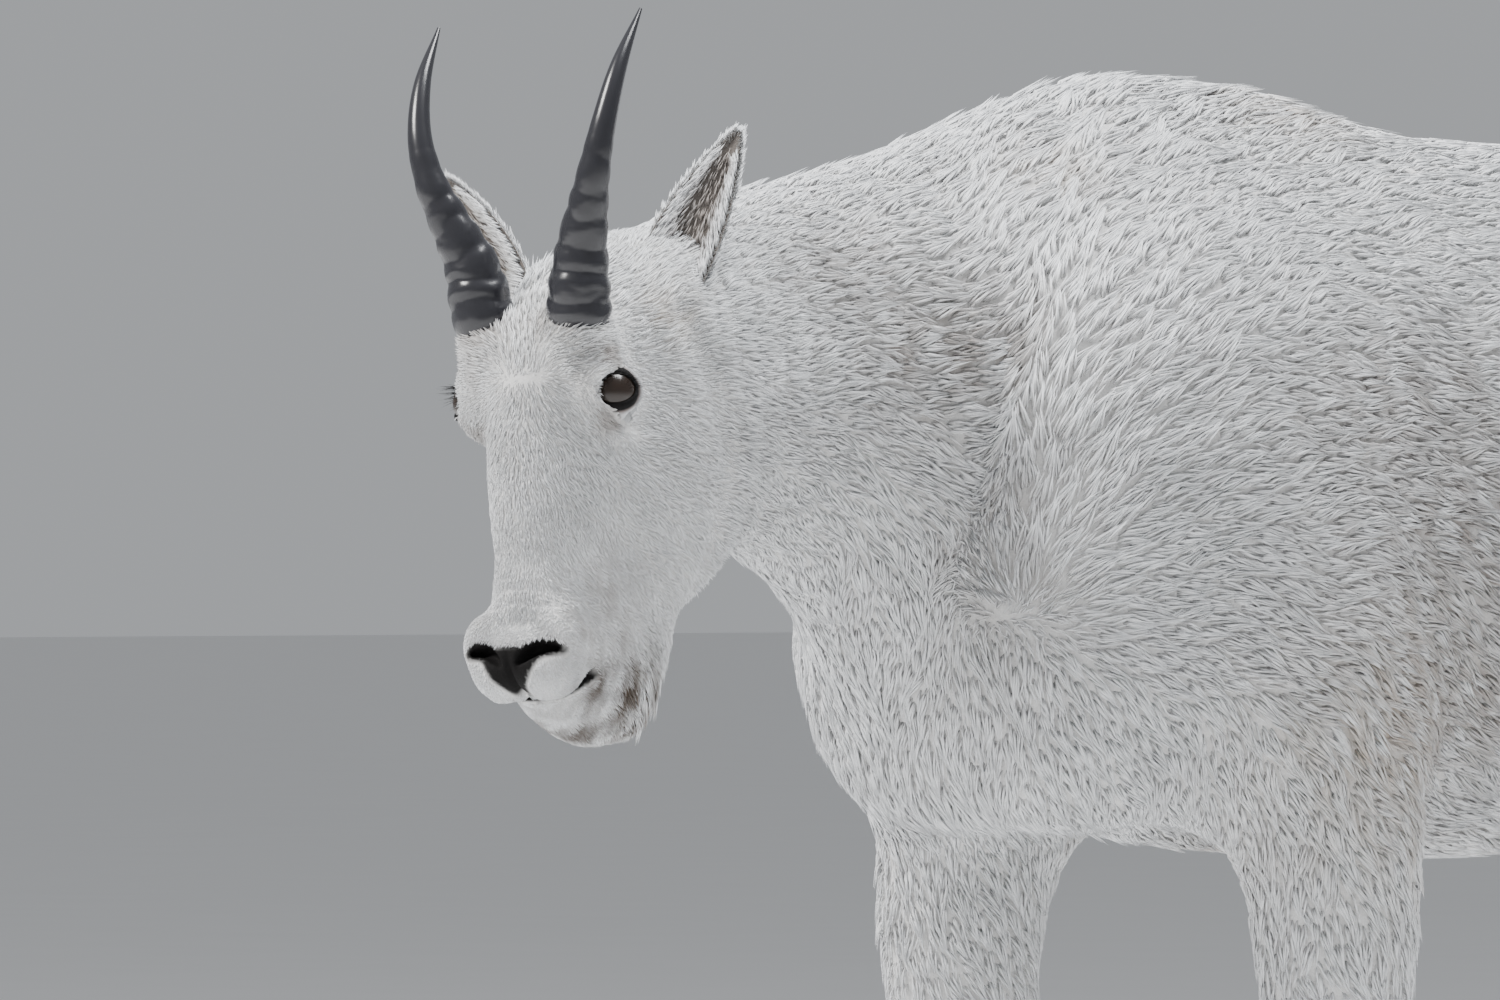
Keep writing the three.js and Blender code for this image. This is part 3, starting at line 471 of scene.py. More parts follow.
# The lie of the coat: places on the left side and the way the hair runs there
LIE = [
    ((95, -372, 690), (0, -0.1, 1)),
    ((95, -365, 760), (0, 0.15, 1)),
    ((90, -345, 860), (0, 0.35, 0.9)),
    ((70, -320, 930), (0, 0.7, 0.6)),
    ((130, -250, 880), (0, 0.8, 0.55)),
    ((140, -300, 780), (0, 0.75, 0.55)),
    ((150, -220, 780), (0, 0.95, 0.1)),
    ((140, -320, 690), (0, 1, 0.1)),
    ((160, -240, 660), (0, 0.95, -0.3)),
    ((40, -200, 985), (0, 0.85, 0.45)),
    ((30, -80, 975), (0, 0.95, 0.2)),
    ((95, -372, 640), (0, 0.2, -1)),
    ((60, -395, 700), (-0.5, 0, -0.6)),
    ((30, -400, 620), (-0.2, 0, -1)),
    ((0, -385, 560), (0, 0.4, -1)),
    ((0, -395, 720), (0, 0.1, -1)),
    ((140, -250, 560), (0, 0.35, -1)),
    ((120, -180, 480), (0, 0.25, -1)),
    ((110, -150, 300), (0, 0.12, -1)),
    ((110, -270, 300), (0, 0.12, -1)),
    ((106, -170, 100), (0, 0.1, -1)),
    ((40, -560, 912), (-0.1, 0.9, 0.4)),
    ((30, -450, 940), (-0.1, 0.95, 0.3)),
    ((110, -520, 840), (-0.1, 1, 0.1)),
    ((100, -440, 840), (-0.05, 1, -0.1)),
    ((110, -460, 760), (-0.1, 0.9, -0.45)),
    ((100, -540, 740), (-0.1, 0.9, -0.35)),
    ((60, -470, 690), (-0.2, 0.5, -0.8)),
    ((60, 0, 955), (0, 1, 0)),
    ((165, -60, 820), (0, 1, -0.2)),
    ((170, -60, 680), (0, 0.9, -0.5)),
    ((172, 80, 820), (0, 0.95, -0.35)),
    ((172, 80, 680), (0, 0.8, -0.65)),
    ((150, 60, 570), (0, 0.8, -0.6)),
    ((60, 60, 515), (0, 0.95, -0.3)),
    ((60, 200, 935), (0, 1, -0.1)),
    ((60, 340, 910), (0, 0.95, -0.3)),
    ((155, 240, 830), (0, 0.8, -0.55)),
    ((155, 330, 760), (0, 0.55, -0.85)),
    ((160, 300, 640), (0, 0.35, -0.95)),
    ((110, 440, 700), (0, 0.3, -0.95)),
    ((60, 440, 820), (0, 0.5, -0.85)),
    ((130, 330, 520), (0, 0.2, -1)),
    ((110, 400, 400), (0, 0.2, -1)),
    ((106, 430, 200), (0, 0.1, -1)),
    ((106, 400, 100), (0, 0.1, -1)),
    ((20, 480, 870), (0, 0.9, -0.4)),
    ((20, 510, 800), (0, 0.2, -1)),
]
# The same on the head, in its own frame
HEAD_LIE = [
    ((0, 32, 5), (0, 0.05, 1)),
    ((0, 32, -12), (0, -0.1, -1)),
    ((0, 20, -45), (0, -0.3, -1)),
    ((0, -30, -80), (0, -0.9, -0.4)),
    ((22, 26, -20), (0.8, -0.3, -0.5)),
    ((22, 32, 10), (0.7, -0.2, 0.6)),
    ((45, 20, -15), (0.7, -0.6, -0.3)),
    ((52, 12, 22), (0.5, -0.6, 0.6)),
    ((0, 30, 70), (0, 0.05, 1)),
    ((22, 26, 60), (0.45, -0.2, 0.9)),
    ((36, 5, 60), (0.4, -0.5, 0.75)),
    ((0, 26, 130), (0, 0.05, 1)),
    ((30, 10, 120), (0.4, -0.5, 0.7)),
    ((34, -20, 130), (0.2, -0.8, 0.5)),
    ((30, -5, 172), (0.4, -0.8, 0.1)),
    ((0, 10, 176), (0, 0.1, 1)),
    ((14, -40, 190), (0.1, -0.8, 0.6)),
    ((0, -60, 190), (0, -0.9, 0.5)),
    ((55, -40, 20), (0.2, -0.95, 0.25)),
    ((55, -90, 20), (0.1, -1, 0.05)),
    ((50, -60, 80), (0.1, -0.9, 0.4)),
    ((35, -80, 130), (0, -0.9, 0.45)),
    ((34, -95, 160), (0.1, -0.6, 0.8)),
    ((0, -100, 160), (0, -0.85, 0.55)),
    ((0, -130, 110), (0, -0.9, 0.45)),
    ((40, -130, 60), (0, -1, 0.15)),
    ((55, -110, -20), (0, -1, -0.1)),
    ((45, -50, -50), (0.2, -0.9, -0.4)),
]
LIE_PLACES = []
LIE_WAYS = []
for turned in (1, -1):
    flip = vec(turned, 1, 1)
    for place, way in LIE:
        LIE_PLACES.append(vec(*place) * flip)
        LIE_WAYS.append(unit(vec(*way)) * flip)
    for place, way in HEAD_LIE:
        LIE_PLACES.append(from_head(*(vec(*place) * flip)))
        LIE_WAYS.append(head_way(*(unit(vec(*way)) * flip)))
LIE_PLACES, LIE_WAYS = np.array(LIE_PLACES), np.array(LIE_WAYS)


BATCH = 20000  # points worked out at a time


def hair_way(p, normal):
    """The way the coat runs at points of the skin, and how sure it is: little where ways meet."""
    way = np.empty_like(p)
    for start in range(0, len(p), BATCH):
        q = p[start : start + BATCH]
        near = ((q[:, None] - LIE_PLACES) ** 2).sum(-1)
        reach = mix(900, 60, head_share(q))[:, None]
        weight = 1 / (near + reach) ** 2
        way[start : start + BATCH] = (weight @ LIE_WAYS) / weight.sum(1)[:, None]
    way -= normal * (way * normal).sum(-1)[:, None]
    return unit(way), np.clip(size_of(way) / 0.6, 0, 1)


# The skin's own field, and the eye sockets, nostrils, mouth and folds in it

def eye_frame(side):
    axis = unit(head_way(0.75 * side, 0.65, 0.08))
    corner = head_way(-0.5 * side, 0.8, 0.32)
    across = unit(corner - axis * (corner @ axis))
    up = np.cross(axis, across)
    if up @ HEAD_DOWN > 0:
        up = -up
    return eye_centre(side), axis, across, up


# The eye's opening: distance out from the eye's centre, half width, half height
OPENING = [(4, 10, 8.5), (16, 13.4, 10.8), (34, 24, 20)]


def socket(side):
    centre, axis, across, up = eye_frame(side)
    out, wide, tall = np.array(OPENING, float).T

    def field(p):
        rel = p - centre
        run = rel @ axis
        ra, rb = np.interp(run, out, wide), np.interp(run, out, tall)
        oval = (np.sqrt((rel @ across / ra) ** 2 + (rel @ up / rb) ** 2) - 1) * rb
        return np.minimum(np.maximum(oval, 3 - run), size_of(rel) - EYE_RADIUS - 0.4)

    return field


# The nostrils, from near the midline out and round the wing: a, t, s, half width
NOSTRIL_LINE = [
    (6, 29, 176, 1.4),
    (8, 30, 170, 3.0),
    (14, 28, 164, 4.2),
    (21, 23, 160, 4.0),
    (28, 14, 161, 1.6),
]


def nostril(side):
    line = [(*from_head(a * side, t, s), width * 2.6, width) for a, t, s, width in NOSTRIL_LINE]
    return tube(line, head_way(0.45 * side, 0.85, -0.1))


MOUTH_CENTRE = from_head(0, -27, 162)
MOUTH_FORWARD = unit(head_way(0, 0.64, 0.77))
MOUTH_UP = unit(np.cross(HEAD_LEFT, MOUTH_FORWARD))
if MOUTH_UP @ HEAD_DOWN > 0:
    MOUTH_UP = -MOUTH_UP
MOUTH_REACH = math.radians(90)


def mouth_near(p):
    """Distance from the plane of the mouth, and 1 in front of its corners."""
    rel = p - MOUTH_CENTRE
    side = np.arctan2(rel @ HEAD_LEFT, rel @ MOUTH_FORWARD)
    inside = ramp(MOUTH_REACH - np.abs(side), 0, 0.25)
    return np.abs(rel @ MOUTH_UP), inside


CUTS = [socket(1), socket(-1), nostril(1), nostril(-1)]


def crease(places, width, depth):
    """A groove along a line of places: the line as a thin tube, and the groove's width and depth."""
    return tube([(*place, 1, 1) for place in places]), width, depth


# Folds of the coat: behind the cheeks, across the shoulders and behind the elbows
CREASES = []
for turned in (1, -1):
    cheek = [(72, -45, -54), (81, -63, -16), (83, -88, 23), (72, -95, 62), (57, -104, 94)]
    CREASES.append(crease([from_head(a * turned, t, s) for a, t, s in cheek], 9, 6))
    shoulder = [(126, -376, 614), (146, -344, 606), (153, -302, 597), (145, -247, 576), (137, -221, 542)]
    CREASES.append(crease([vec(x * turned, y, z) for x, y, z in shoulder], 12, 6))
    elbow = [(168, -110, 690), (150, -66, 630), (118, -44, 575), (90, -36, 530)]
    CREASES.append(crease([vec(x * turned, y, z) for x, y, z in elbow], 20, 8))


GROOVE_DEPTH, GROOVE_WIDTH = 3.2, 2.4  # the line of the mouth
LIP_HEIGHT, LIP_PLACE, LIP_WIDTH = 1.2, 6, 3.5  # the swell on both sides of it
# Hollows on both sides of the face: place, radii, and depth, which is below 0 for a ridge
FACE_HOLLOWS = [
    ((53, -12, 24), (9, 22, 6), -2.4),  # the bone under the eye
    ((38, 18, 26), (7, 8, 13), 2.6),  # in front of the eye
    ((38, -20, 92), (9, 26, 16), 2.2),  # above the corner of the mouth
]
PHILTRUM_DEPTH, PHILTRUM_WIDTH = 1.8, 1.8


def skin_field(p):
    """The skin: the outline drawn in by the coat's depth, with all that is cut and pressed into it."""
    value = whole_field(p) + coat_depth(p)
    h = in_head(p)
    near = (np.abs(h) < (90, 120, 230)).all(-1)
    q, hq = p[near], h[near]
    inner = value[near]
    away, inside = mouth_near(q)
    groove = GROOVE_DEPTH * inside * np.exp(-((away / GROOVE_WIDTH) ** 2))
    inner += groove - LIP_HEIGHT * inside * np.exp(-(((away - LIP_PLACE) / LIP_WIDTH) ** 2))
    side = np.abs(hq[:, 0])
    mirrored = np.stack([side, hq[:, 1], hq[:, 2]], -1)
    for place, radii, depth in FACE_HOLLOWS:
        inner += depth * bump(mirrored, place, radii)
    philtrum = PHILTRUM_DEPTH * np.exp(-((side / PHILTRUM_WIDTH) ** 2))
    inner += philtrum * ramp(hq[:, 2], 158, 168) * ramp(hq[:, 1], -20, 0)
    for cut in CUTS:
        inner = np.maximum(inner, -cut(q))
    value[near] = inner
    for line, width, depth in CREASES:
        value = value + depth * np.exp(-((np.maximum(line(p), 0) / width) ** 2))
    return value


# Surfaces from fields

CELL = np.array([(c & 1, (c >> 1) & 1, (c >> 2) & 1) for c in range(8)])
EDGES = [(a, a | bit) for a in range(8) for bit in (1, 2, 4) if not a & bit]
COARSE = 4  # steps of the grid that finds a surface, for each step of the grid that makes it
OUTSIDE = 100  # a distance that is surely outside


def finer(values, axis, times):
    """Values on a grid with that many steps for each of its own along one axis."""
    values = np.moveaxis(values, axis, 0)
    share = (np.arange(times) / times)[None, :, None, None]
    a, b = values[:-1, None], values[1:, None]
    made = (a + (b - a) * share).reshape(-1, *values.shape[1:])
    return np.moveaxis(np.concatenate([made, values[-1:]]), 0, axis)


def surface_of(field, low, high, step):
    """Vertices and quads of a field's closed surface, worked out only near it."""
    low = np.asarray(low, float)
    count = np.ceil((np.asarray(high, float) - low) / (step * COARSE)).astype(int)
    axes = [low[i] + step * COARSE * np.arange(count[i] + 1) for i in range(3)]
    grid = np.stack(np.meshgrid(*axes, indexing="ij"), -1)
    values = field(grid.reshape(-1, 3)).reshape(grid.shape[:3])
    for axis in range(3):
        values = finer(values, axis, COARSE)
    near = np.argwhere(np.abs(values) < 0.8 * step * COARSE)
    values[tuple(near.T)] = field(low + near * step)
    for axis in range(3):
        rim = np.moveaxis(values, axis, 0)
        rim[0] = rim[-1] = OUTSIDE
    inside = values < 0
    shape = np.array(values.shape) - 1
    corners = [inside[tuple(slice(c[i], c[i] + shape[i]) for i in range(3))] for c in CELL]
    filled = sum(c.astype(np.int8) for c in corners)
    cells = np.argwhere((filled > 0) & (filled < 8))
    total, number = np.zeros((len(cells), 3)), np.zeros(len(cells))
    for a, b in EDGES:
        va = values[tuple((cells + CELL[a]).T)]
        vb = values[tuple((cells + CELL[b]).T)]
        cross = (va < 0) != (vb < 0)
        share = (va / np.where(cross, va - vb, 1))[:, None]
        total += np.where(cross[:, None], CELL[a] + (CELL[b] - CELL[a]) * share, 0)
        number += cross
    points = low + (cells + total / number[:, None]) * step
    points = settled(field, points, reach=0.5 * step)
    index = np.full(shape, -1)
    index[tuple(cells.T)] = np.arange(len(cells))
    quads = []
    for axis in range(3):
        u, v = (axis + 1) % 3, (axis + 2) % 3
        a = [slice(None)] * 3
        b = [slice(None)] * 3
        a[axis], b[axis] = slice(0, -1), slice(1, None)
        first = inside[tuple(a)]
        edges = np.argwhere(first != inside[tuple(b)])
        outward = first[tuple(edges.T)]
        ring = []
        for du, dv in ((0, 0), (-1, 0), (-1, -1), (0, -1)):
            cell = edges.copy()
            cell[:, u] += du
            cell[:, v] += dv
            ring.append(index[tuple(cell.T)])
        ring = np.stack(ring, -1)
        quads.append(np.where(outward[:, None], ring, ring[:, ::-1]))
    return points, np.concatenate(quads)


# Meshes from arrays

def mesh_of(name, points, faces, material, tint=None, uv=None):
    """One object from points in the goat's frame and faces of one kind, with a colour at each point."""
    faces = np.asarray(faces)
    sides = faces.shape[1]
    mesh = bpy.data.meshes.new(name)
    mesh.vertices.add(len(points))
    mesh.vertices.foreach_set("co", to_row(points).astype(np.float32).ravel())
    mesh.loops.add(faces.size)
    mesh.loops.foreach_set("vertex_index", faces.astype(np.int32).ravel())
    mesh.polygons.add(len(faces))
    mesh.polygons.foreach_set("loop_start", np.arange(0, faces.size, sides, dtype=np.int32))
    mesh.update(calc_edges=True)
    mesh.polygons.foreach_set("use_smooth", np.full(len(faces), True))
    if tint is not None:
        full = np.ones((len(points), 4), np.float32)
        full[:, :3] = tint
        mesh.attributes.new("tint", "FLOAT_COLOR", "POINT").data.foreach_set("color", full.ravel())
    if uv is not None:
        layer = mesh.uv_layers.new(name="OFBake")
        layer.data.foreach_set("uv", uv[faces.ravel()].astype(np.float32).ravel())
    mesh.materials.append(material)
    piece = bpy.data.objects.new(name, mesh)
    bpy.context.scene.collection.objects.link(piece)
    return piece


def loft(rings, closed=False):
    """Points and triangles over rings of equal size, capped at both ends unless it closes on itself."""
    rings = np.asarray(rings, float)
    count, sides = rings.shape[:2]
    points = rings.reshape(-1, 3)
    spans = count if closed else count - 1
    i, j = np.meshgrid(np.arange(spans), np.arange(sides), indexing="ij")
    i, j = i.ravel(), j.ravel()
    k, n = (j + 1) % sides, (i + 1) % count
    a, b, c, d = i * sides + j, i * sides + k, n * sides + k, n * sides + j
    faces = np.concatenate([np.stack([a, b, c], -1), np.stack([a, c, d], -1)])
    if not closed:
        ends = np.stack([rings[0].mean(0), rings[-1].mean(0)])
        points = np.vstack([points, ends])
        j, k = np.arange(sides), (np.arange(sides) + 1) % sides
        first = np.stack([k, j, np.full(sides, len(points) - 2)], -1)
        last = (count - 1) * sides
        second = np.stack([last + j, last + k, np.full(sides, len(points) - 1)], -1)
        faces = np.concatenate([faces, first, second])
    p = points[faces]
    volume = (p[:, 0] * np.cross(p[:, 1], p[:, 2])).sum()
    return points, faces if volume > 0 else faces[:, ::-1]


def gathered(parts):
    """Several meshes' points and faces as one."""
    points, faces, start = [], [], 0
    for p, f in parts:
        points.append(p)
        faces.append(np.asarray(f) + start)
        start += len(p)
    return np.vstack(points), np.vstack(faces)


# Colours

def colour(name, text, default):
    return FloatVectorProperty(
        name=name, description=text, default=default, size=3, min=0, max=1, subtype="COLOR"
    )


class GoatColours(bpy.types.PropertyGroup):
    tip: colour("Hair tips", "Outer part of the white coat", (0.74, 0.755, 0.775))
    root: colour("Hair roots", "Shaded inner part of the coat", (0.56, 0.555, 0.55))
    # The coat's own brown staining, also used as painted shade: its marks darken behind the elbows, under
    # the belly, round the eyes and at the horns' bases
    stain_and_shade: colour("Stain", "Warm tint where the coat is stained", (0.42, 0.33, 0.24))
    # Partly the coat's own darker hair of the neck and shoulder, partly painted shade round the eyes, on the
    # brow, in the muzzle's hollows and behind the shoulder and elbow
    grey_hair_and_shade: colour("Grey hair", "Worn and shaded hair of the neck, shoulder and flank", (0.30, 0.27, 0.25))
    dark: colour("Dark hair", "Dark hair on the chin and muzzle", (0.085, 0.065, 0.05))
    bare: colour("Bare skin", "Bare skin of the nose, lips and lids", (0.005, 0.0045, 0.0045))
    flesh: colour("Flesh", "Pinkish brown skin in folds", (0.22, 0.13, 0.10))
    ear: colour("Inner ear", "Skin and hair inside the ears", (0.13, 0.115, 0.105))
    horn: colour("Horn", "Polished upper part of the horns", (0.006, 0.006, 0.0075))
    horn_base: colour("Horn base", "Matt ringed part of the horns", (0.085, 0.068, 0.056))
    hoof: colour("Hoof", "Horn of the hooves", (0.035, 0.028, 0.023))
    iris: colour("Iris", "The coloured ring of the eye", (0.009, 0.005, 0.003))
    floor: colour("Floor", "The plain floor", (0.80, 0.80, 0.80))


def number(name, text, default, **more):
    return FloatProperty(name=name, description=text, default=default, min=0, **more)


def length(name, text, default, most):
    return number(name, text, default, max=most, unit="LENGTH")


class GoatSizes(bpy.types.PropertyGroup):
    body_step: length("Body step", "Spacing of the skin's faces on the body", 0.0075, 0.05)
    head_step: length("Head step", "Spacing of the skin's faces on the head", 0.0021, 0.02)
    cover: number("Cover", "How many tufts lie over each point", 3.9)
    slim: number("Tuft width", "Width of a tuft as a share of its length", 0.062)
    lift: number("Lift", "How steeply tufts leave the skin", 0.24, unit="ROTATION")
    rings: IntProperty(name="Horn rings", description="Growth rings of each horn", default=13)
    ring_depth: length("Ring depth", "Height of the horns' growth rings", 0.0018, 0.01)
    lashes: IntProperty(name="Lashes", description="Lashes along each upper lid", default=46)
    lash: length("Lash length", "Length of the lashes", 0.011, 0.05)


def sizes():
    return bpy.context.scene.goat_sizes


def shade(name):
    return np.array(getattr(bpy.context.scene.goat_colours, name))


# Marks on skin and coat, stains, darker hair and painted shade: centre, radii, colour, strength
MARKS = [
    ((110, -470, 905), (30, 45, 22), "stain_and_shade", 0.35),
    ((90, -330, 940), (40, 30, 16), "stain_and_shade", 0.3),
    ((40, -120, 985), (40, 50, 30), "stain_and_shade", 0.35),
    # behind the elbow: staining and painted shade
    ((150, -130, 600), (50, 80, 70), "stain_and_shade", 0.45),
    # neck, shoulder and flank: darker hair and painted shade
    ((115, -425, 835), (45, 70, 50), "grey_hair_and_shade", 0.7),
    ((100, -500, 880), (30, 50, 30), "grey_hair_and_shade", 0.45),
    ((110, -390, 700), (50, 40, 60), "grey_hair_and_shade", 0.35),
    ((162, -120, 800), (50, 120, 70), "grey_hair_and_shade", 0.45),
    ((162, -60, 700), (60, 110, 90), "grey_hair_and_shade", 0.5),
    ((140, -50, 600), (70, 80, 60), "grey_hair_and_shade", 0.55),
    # under the belly: staining and painted shade
    ((60, -120, 530), (70, 60, 30), "stain_and_shade", 0.5),
    ((-60, -120, 530), (70, 60, 30), "stain_and_shade", 0.5),
    ((60, 150, 520), (60, 120, 25), "stain_and_shade", 0.3),
    ((-60, 150, 520), (60, 120, 25), "stain_and_shade", 0.3),
    ((110, -130, 290), (60, 60, 40), "stain_and_shade", 0.45),
    ((-110, -260, 290), (60, 60, 40), "stain_and_shade", 0.45),
    ((110, 410, 330), (60, 60, 50), "stain_and_shade", 0.35),
    ((-110, 450, 330), (60, 60, 50), "stain_and_shade", 0.35),
    ((0, 500, 730), (40, 40, 30), "stain_and_shade", 0.4),
]
# The same on both sides of the head, in its own frame: dark hair of the chin and painted shade round the
# eyes, horns and muzzle
HEAD_MARKS = [
    # painted shade at the base of the ear and of the horn
    ((52, -48, -52), (12, 14, 18), "stain_and_shade", 0.75),
    ((36, 20, -42), (10, 12, 9), "stain_and_shade", 0.7),
    ((30, -80, 172), (34, 58, 26), "dark", 1.0),
    ((0, -50, 198), (26, 30, 9), "dark", 0.5),
    # painted shade in front of and below the eye
    ((44, 18, 30), (8, 9, 9), "stain_and_shade", 0.6),
    # painted shade round the eye, on the brow, between the horns and in the hollows of the muzzle
    ((50, 8, -17), (20, 18, 7), "grey_hair_and_shade", 0.75),
    ((51, 8, 20), (18, 18, 7), "grey_hair_and_shade", 0.7),
    ((36, 22, -4), (7, 9, 14), "grey_hair_and_shade", 0.4),
    ((24, 24, -40), (22, 18, 18), "grey_hair_and_shade", 0.5),
    ((42, -16, 118), (16, 34, 34), "grey_hair_and_shade", 0.4),
    ((40, 4, 146), (12, 12, 12), "grey_hair_and_shade", 0.3),
]


def marked(p, base):
    """The base colour of points with the goat's marks on it, stains, darker hair and painted shade, for skin
    and coat alike.
    """
    made = np.broadcast_to(base, (len(p), 3)).copy()
    noise = 0.85 + 0.5 * ripple(p, 30, 3) + 0.5 * ripple(p, 11, 4)
    for centre, radii, name, strength in MARKS:
        share = np.clip(strength * bump(p, centre, radii) * noise, 0, 1)[:, None]
        made = mix(made, shade(name) * (0.5 + 0.5 * made / made.max(-1, keepdims=True)), share)
    h = in_head(p)
    near = (np.abs(h) < (110, 190, 240)).all(-1)
    hn = h[near]
    hn = np.stack([np.abs(hn[:, 0]), hn[:, 1], hn[:, 2]], -1)
    inner = made[near]
    for centre, radii, name, strength in HEAD_MARKS:
        share = np.clip(strength * bump(hn, centre, radii) * noise[near], 0, 1)[:, None]
        inner = mix(inner, shade(name), share)
    made[near] = inner
    return made


def bare_share(p):
    """1 on the nose, lips and nostrils, where the skin is bare and black."""
    h = in_head(p)
    near = (np.abs(h) < (90, 150, 230)).all(-1)
    made = np.zeros(len(p))
    q, hq = p[near], h[near]
    side = np.abs(hq[:, 0])
    broad = np.interp(hq[:, 2], (158, 165, 178, 187), (13, 21, 13, 3))
    nose = (1 - ramp(side - broad, -2, 3)) * ramp(hq[:, 2], 156, 161) * ramp(hq[:, 1], 0, 9)
    rim = np.zeros(len(q))
    for cut in CUTS[2:]:
        rim = np.maximum(rim, 1 - ramp(cut(q), 1.2, 4.5))
    away, inside = mouth_near(q)
    lips = inside * (1 - ramp(away, 3.4, 5.6))
    made[near] = np.maximum(np.maximum(nose, rim), lips)
    return made


# Materials

MIX_A, MIX_B, MIX_RESULT = 6, 7, 2  # the colour sockets of a Mix node


def nodes_in(tree):
    """A function that adds a node to a tree and gives its outputs."""

    def node(kind, inputs=None, **settings):
        """Settings first, then each input: linked to an output or given a value."""
        made = tree.nodes.new(kind)
        for key, value in settings.items():
            setattr(made, key, value)
        for key, value in (inputs or {}).items():
            if isinstance(value, bpy.types.NodeSocket):
                tree.links.new(value, made.inputs[key])
            else:
                made.inputs[key].default_value = value
        return made.outputs

    return node


def group_named(name, kind, inputs, outputs):
    """A new node group, the outputs of its input node and the inputs of its output node."""
    tree = bpy.data.node_groups.new(name, kind)
    for label, socket, default in inputs:
        made = tree.interface.new_socket(label, in_out="INPUT", socket_type="NodeSocket" + socket)
        if default is not None:
            made.default_value = default
    for label, socket in outputs:
        tree.interface.new_socket(label, in_out="OUTPUT", socket_type="NodeSocket" + socket)
    return tree, tree.nodes.new("NodeGroupInput").outputs, tree.nodes.new("NodeGroupOutput").inputs


def grain_group():
    """Fine variation of a colour, with a height for bump, from Object coordinates."""
    if "grain" in bpy.data.node_groups:
        return bpy.data.node_groups["grain"]
    tree, inside, outside = group_named(
        "grain",
        "ShaderNodeTree",
        [("Colour", "Color", None), ("Scale", "Float", 300.0), ("Contrast", "Float", 0.2)],
        [("Colour", "Color"), ("Height", "Float")],
    )
    node = nodes_in(tree)
    place = node("ShaderNodeTexCoord")["Object"]
    noise = node("ShaderNodeTexNoise", {"Detail": 4, "Vector": place, "Scale": inside["Scale"]})["Fac"]
    centred = node("ShaderNodeMath", {0: noise, 1: 0.5}, operation="SUBTRACT")[0]
    factors = {0: centred, 1: inside["Contrast"], 2: 1}
    strength = node("ShaderNodeMath", factors, operation="MULTIPLY_ADD")[0]
    scaled = node("ShaderNodeVectorMath", {0: inside["Colour"], "Scale": strength}, operation="SCALE")[0]
    tree.links.new(scaled, outside["Colour"])
    tree.links.new(noise, outside["Height"])
    return tree


def new_material(name, **sockets):
    """A new material with those values in its shader, its tree and its shader."""
    made = bpy.data.materials.new(name)
    made.use_nodes = True
    shader = made.node_tree.nodes["Principled BSDF"]
    for key, value in sockets.items():
        shader.inputs[key.replace("_", " ")].default_value = value
    return made, made.node_tree, shader


def grained(tree, shader, colour, scale, contrast, bump_size, strength=0.6):
    """Give a shader a colour with grain in it, and a bump of that height in metres if there is one."""
    node = nodes_in(tree)
    inputs = {"Colour": colour, "Scale": scale, "Contrast": contrast}
    grain = node("ShaderNodeGroup", inputs, node_tree=grain_group())
    tree.links.new(grain["Colour"], shader.inputs["Base Color"])
    if bump_size:
        inputs = {"Distance": bump_size, "Strength": strength, "Height": grain["Height"]}
        tree.links.new(node("ShaderNodeBump", inputs)["Normal"], shader.inputs["Normal"])


def material_of(name, source, scale, contrast, bump_size, roughness, **sockets):
    """A grained material whose source is the name of a colour attribute or a plain colour."""
    if name in bpy.data.materials:
        return bpy.data.materials[name]
    made, tree, shader = new_material(name, Roughness=roughness, **sockets)
    if isinstance(source, str):
        colour = nodes_in(tree)("ShaderNodeAttribute", attribute_name=source)["Color"]
    else:
        colour = (*source, 1)
    grained(tree, shader, colour, scale, contrast, bump_size)
    return made


def hair_material():
    sheen = {"Sheen_Weight": 0.12, "Sheen_Roughness": 0.5}
    return material_of("hair", "tint", 160, 0.22, 0, 0.62, Specular_IOR_Level=0.32, **sheen)


def skin_material():
    return material_of("skin", "tint", 900, 0.5, 0.0006, 0.75, Specular_IOR_Level=0.12)


# Skin and coat

BODY_LOW, BODY_HIGH = (-235, -640, -10), (235, 560, 1040)
HEAD_LOW, HEAD_HIGH = (-90, -860, 560), (210, -480, 960)
HOOF_TOP = 44
SEAM = 30  # how far before the head's plane its skin ends
OVERLAP = 14  # between the head's skin and the body's, under the coat
made_skin = {}


def body_part(p):
    """The skin behind the head, closed by planes under the coat and above the hooves."""
    return np.maximum(np.maximum(skin_field(p), -past_head(p) - SEAM - OVERLAP), HOOF_TOP - 3 - p[:, 2])


def head_part(p):
    return np.maximum(skin_field(p), past_head(p) + SEAM)


def skin_surface():
    """The skin's points, quads and normals, worked out once."""
    if not made_skin:
        settings = sizes()
        parts = [
            surface_of(head_part, HEAD_LOW, HEAD_HIGH, settings.head_step * 1000),
            surface_of(body_part, BODY_LOW, BODY_HIGH, settings.body_step * 1000),
        ]
        points, quads = gathered(parts)
        made_skin.update(points=points, quads=quads, normals=unit(slope_of(skin_field, points)))
    return made_skin


FLESH = ["head", "neck", "forequarters", "barrel", "hindquarters", "tail"]
FLESH += [f"{leg}_{side}" for leg in ("foreleg", "hindleg") for side in SIDES]


def finish_piece(piece, nodes=()):
    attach(piece, "root")
    if nodes:
        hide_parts(*nodes)
    return piece


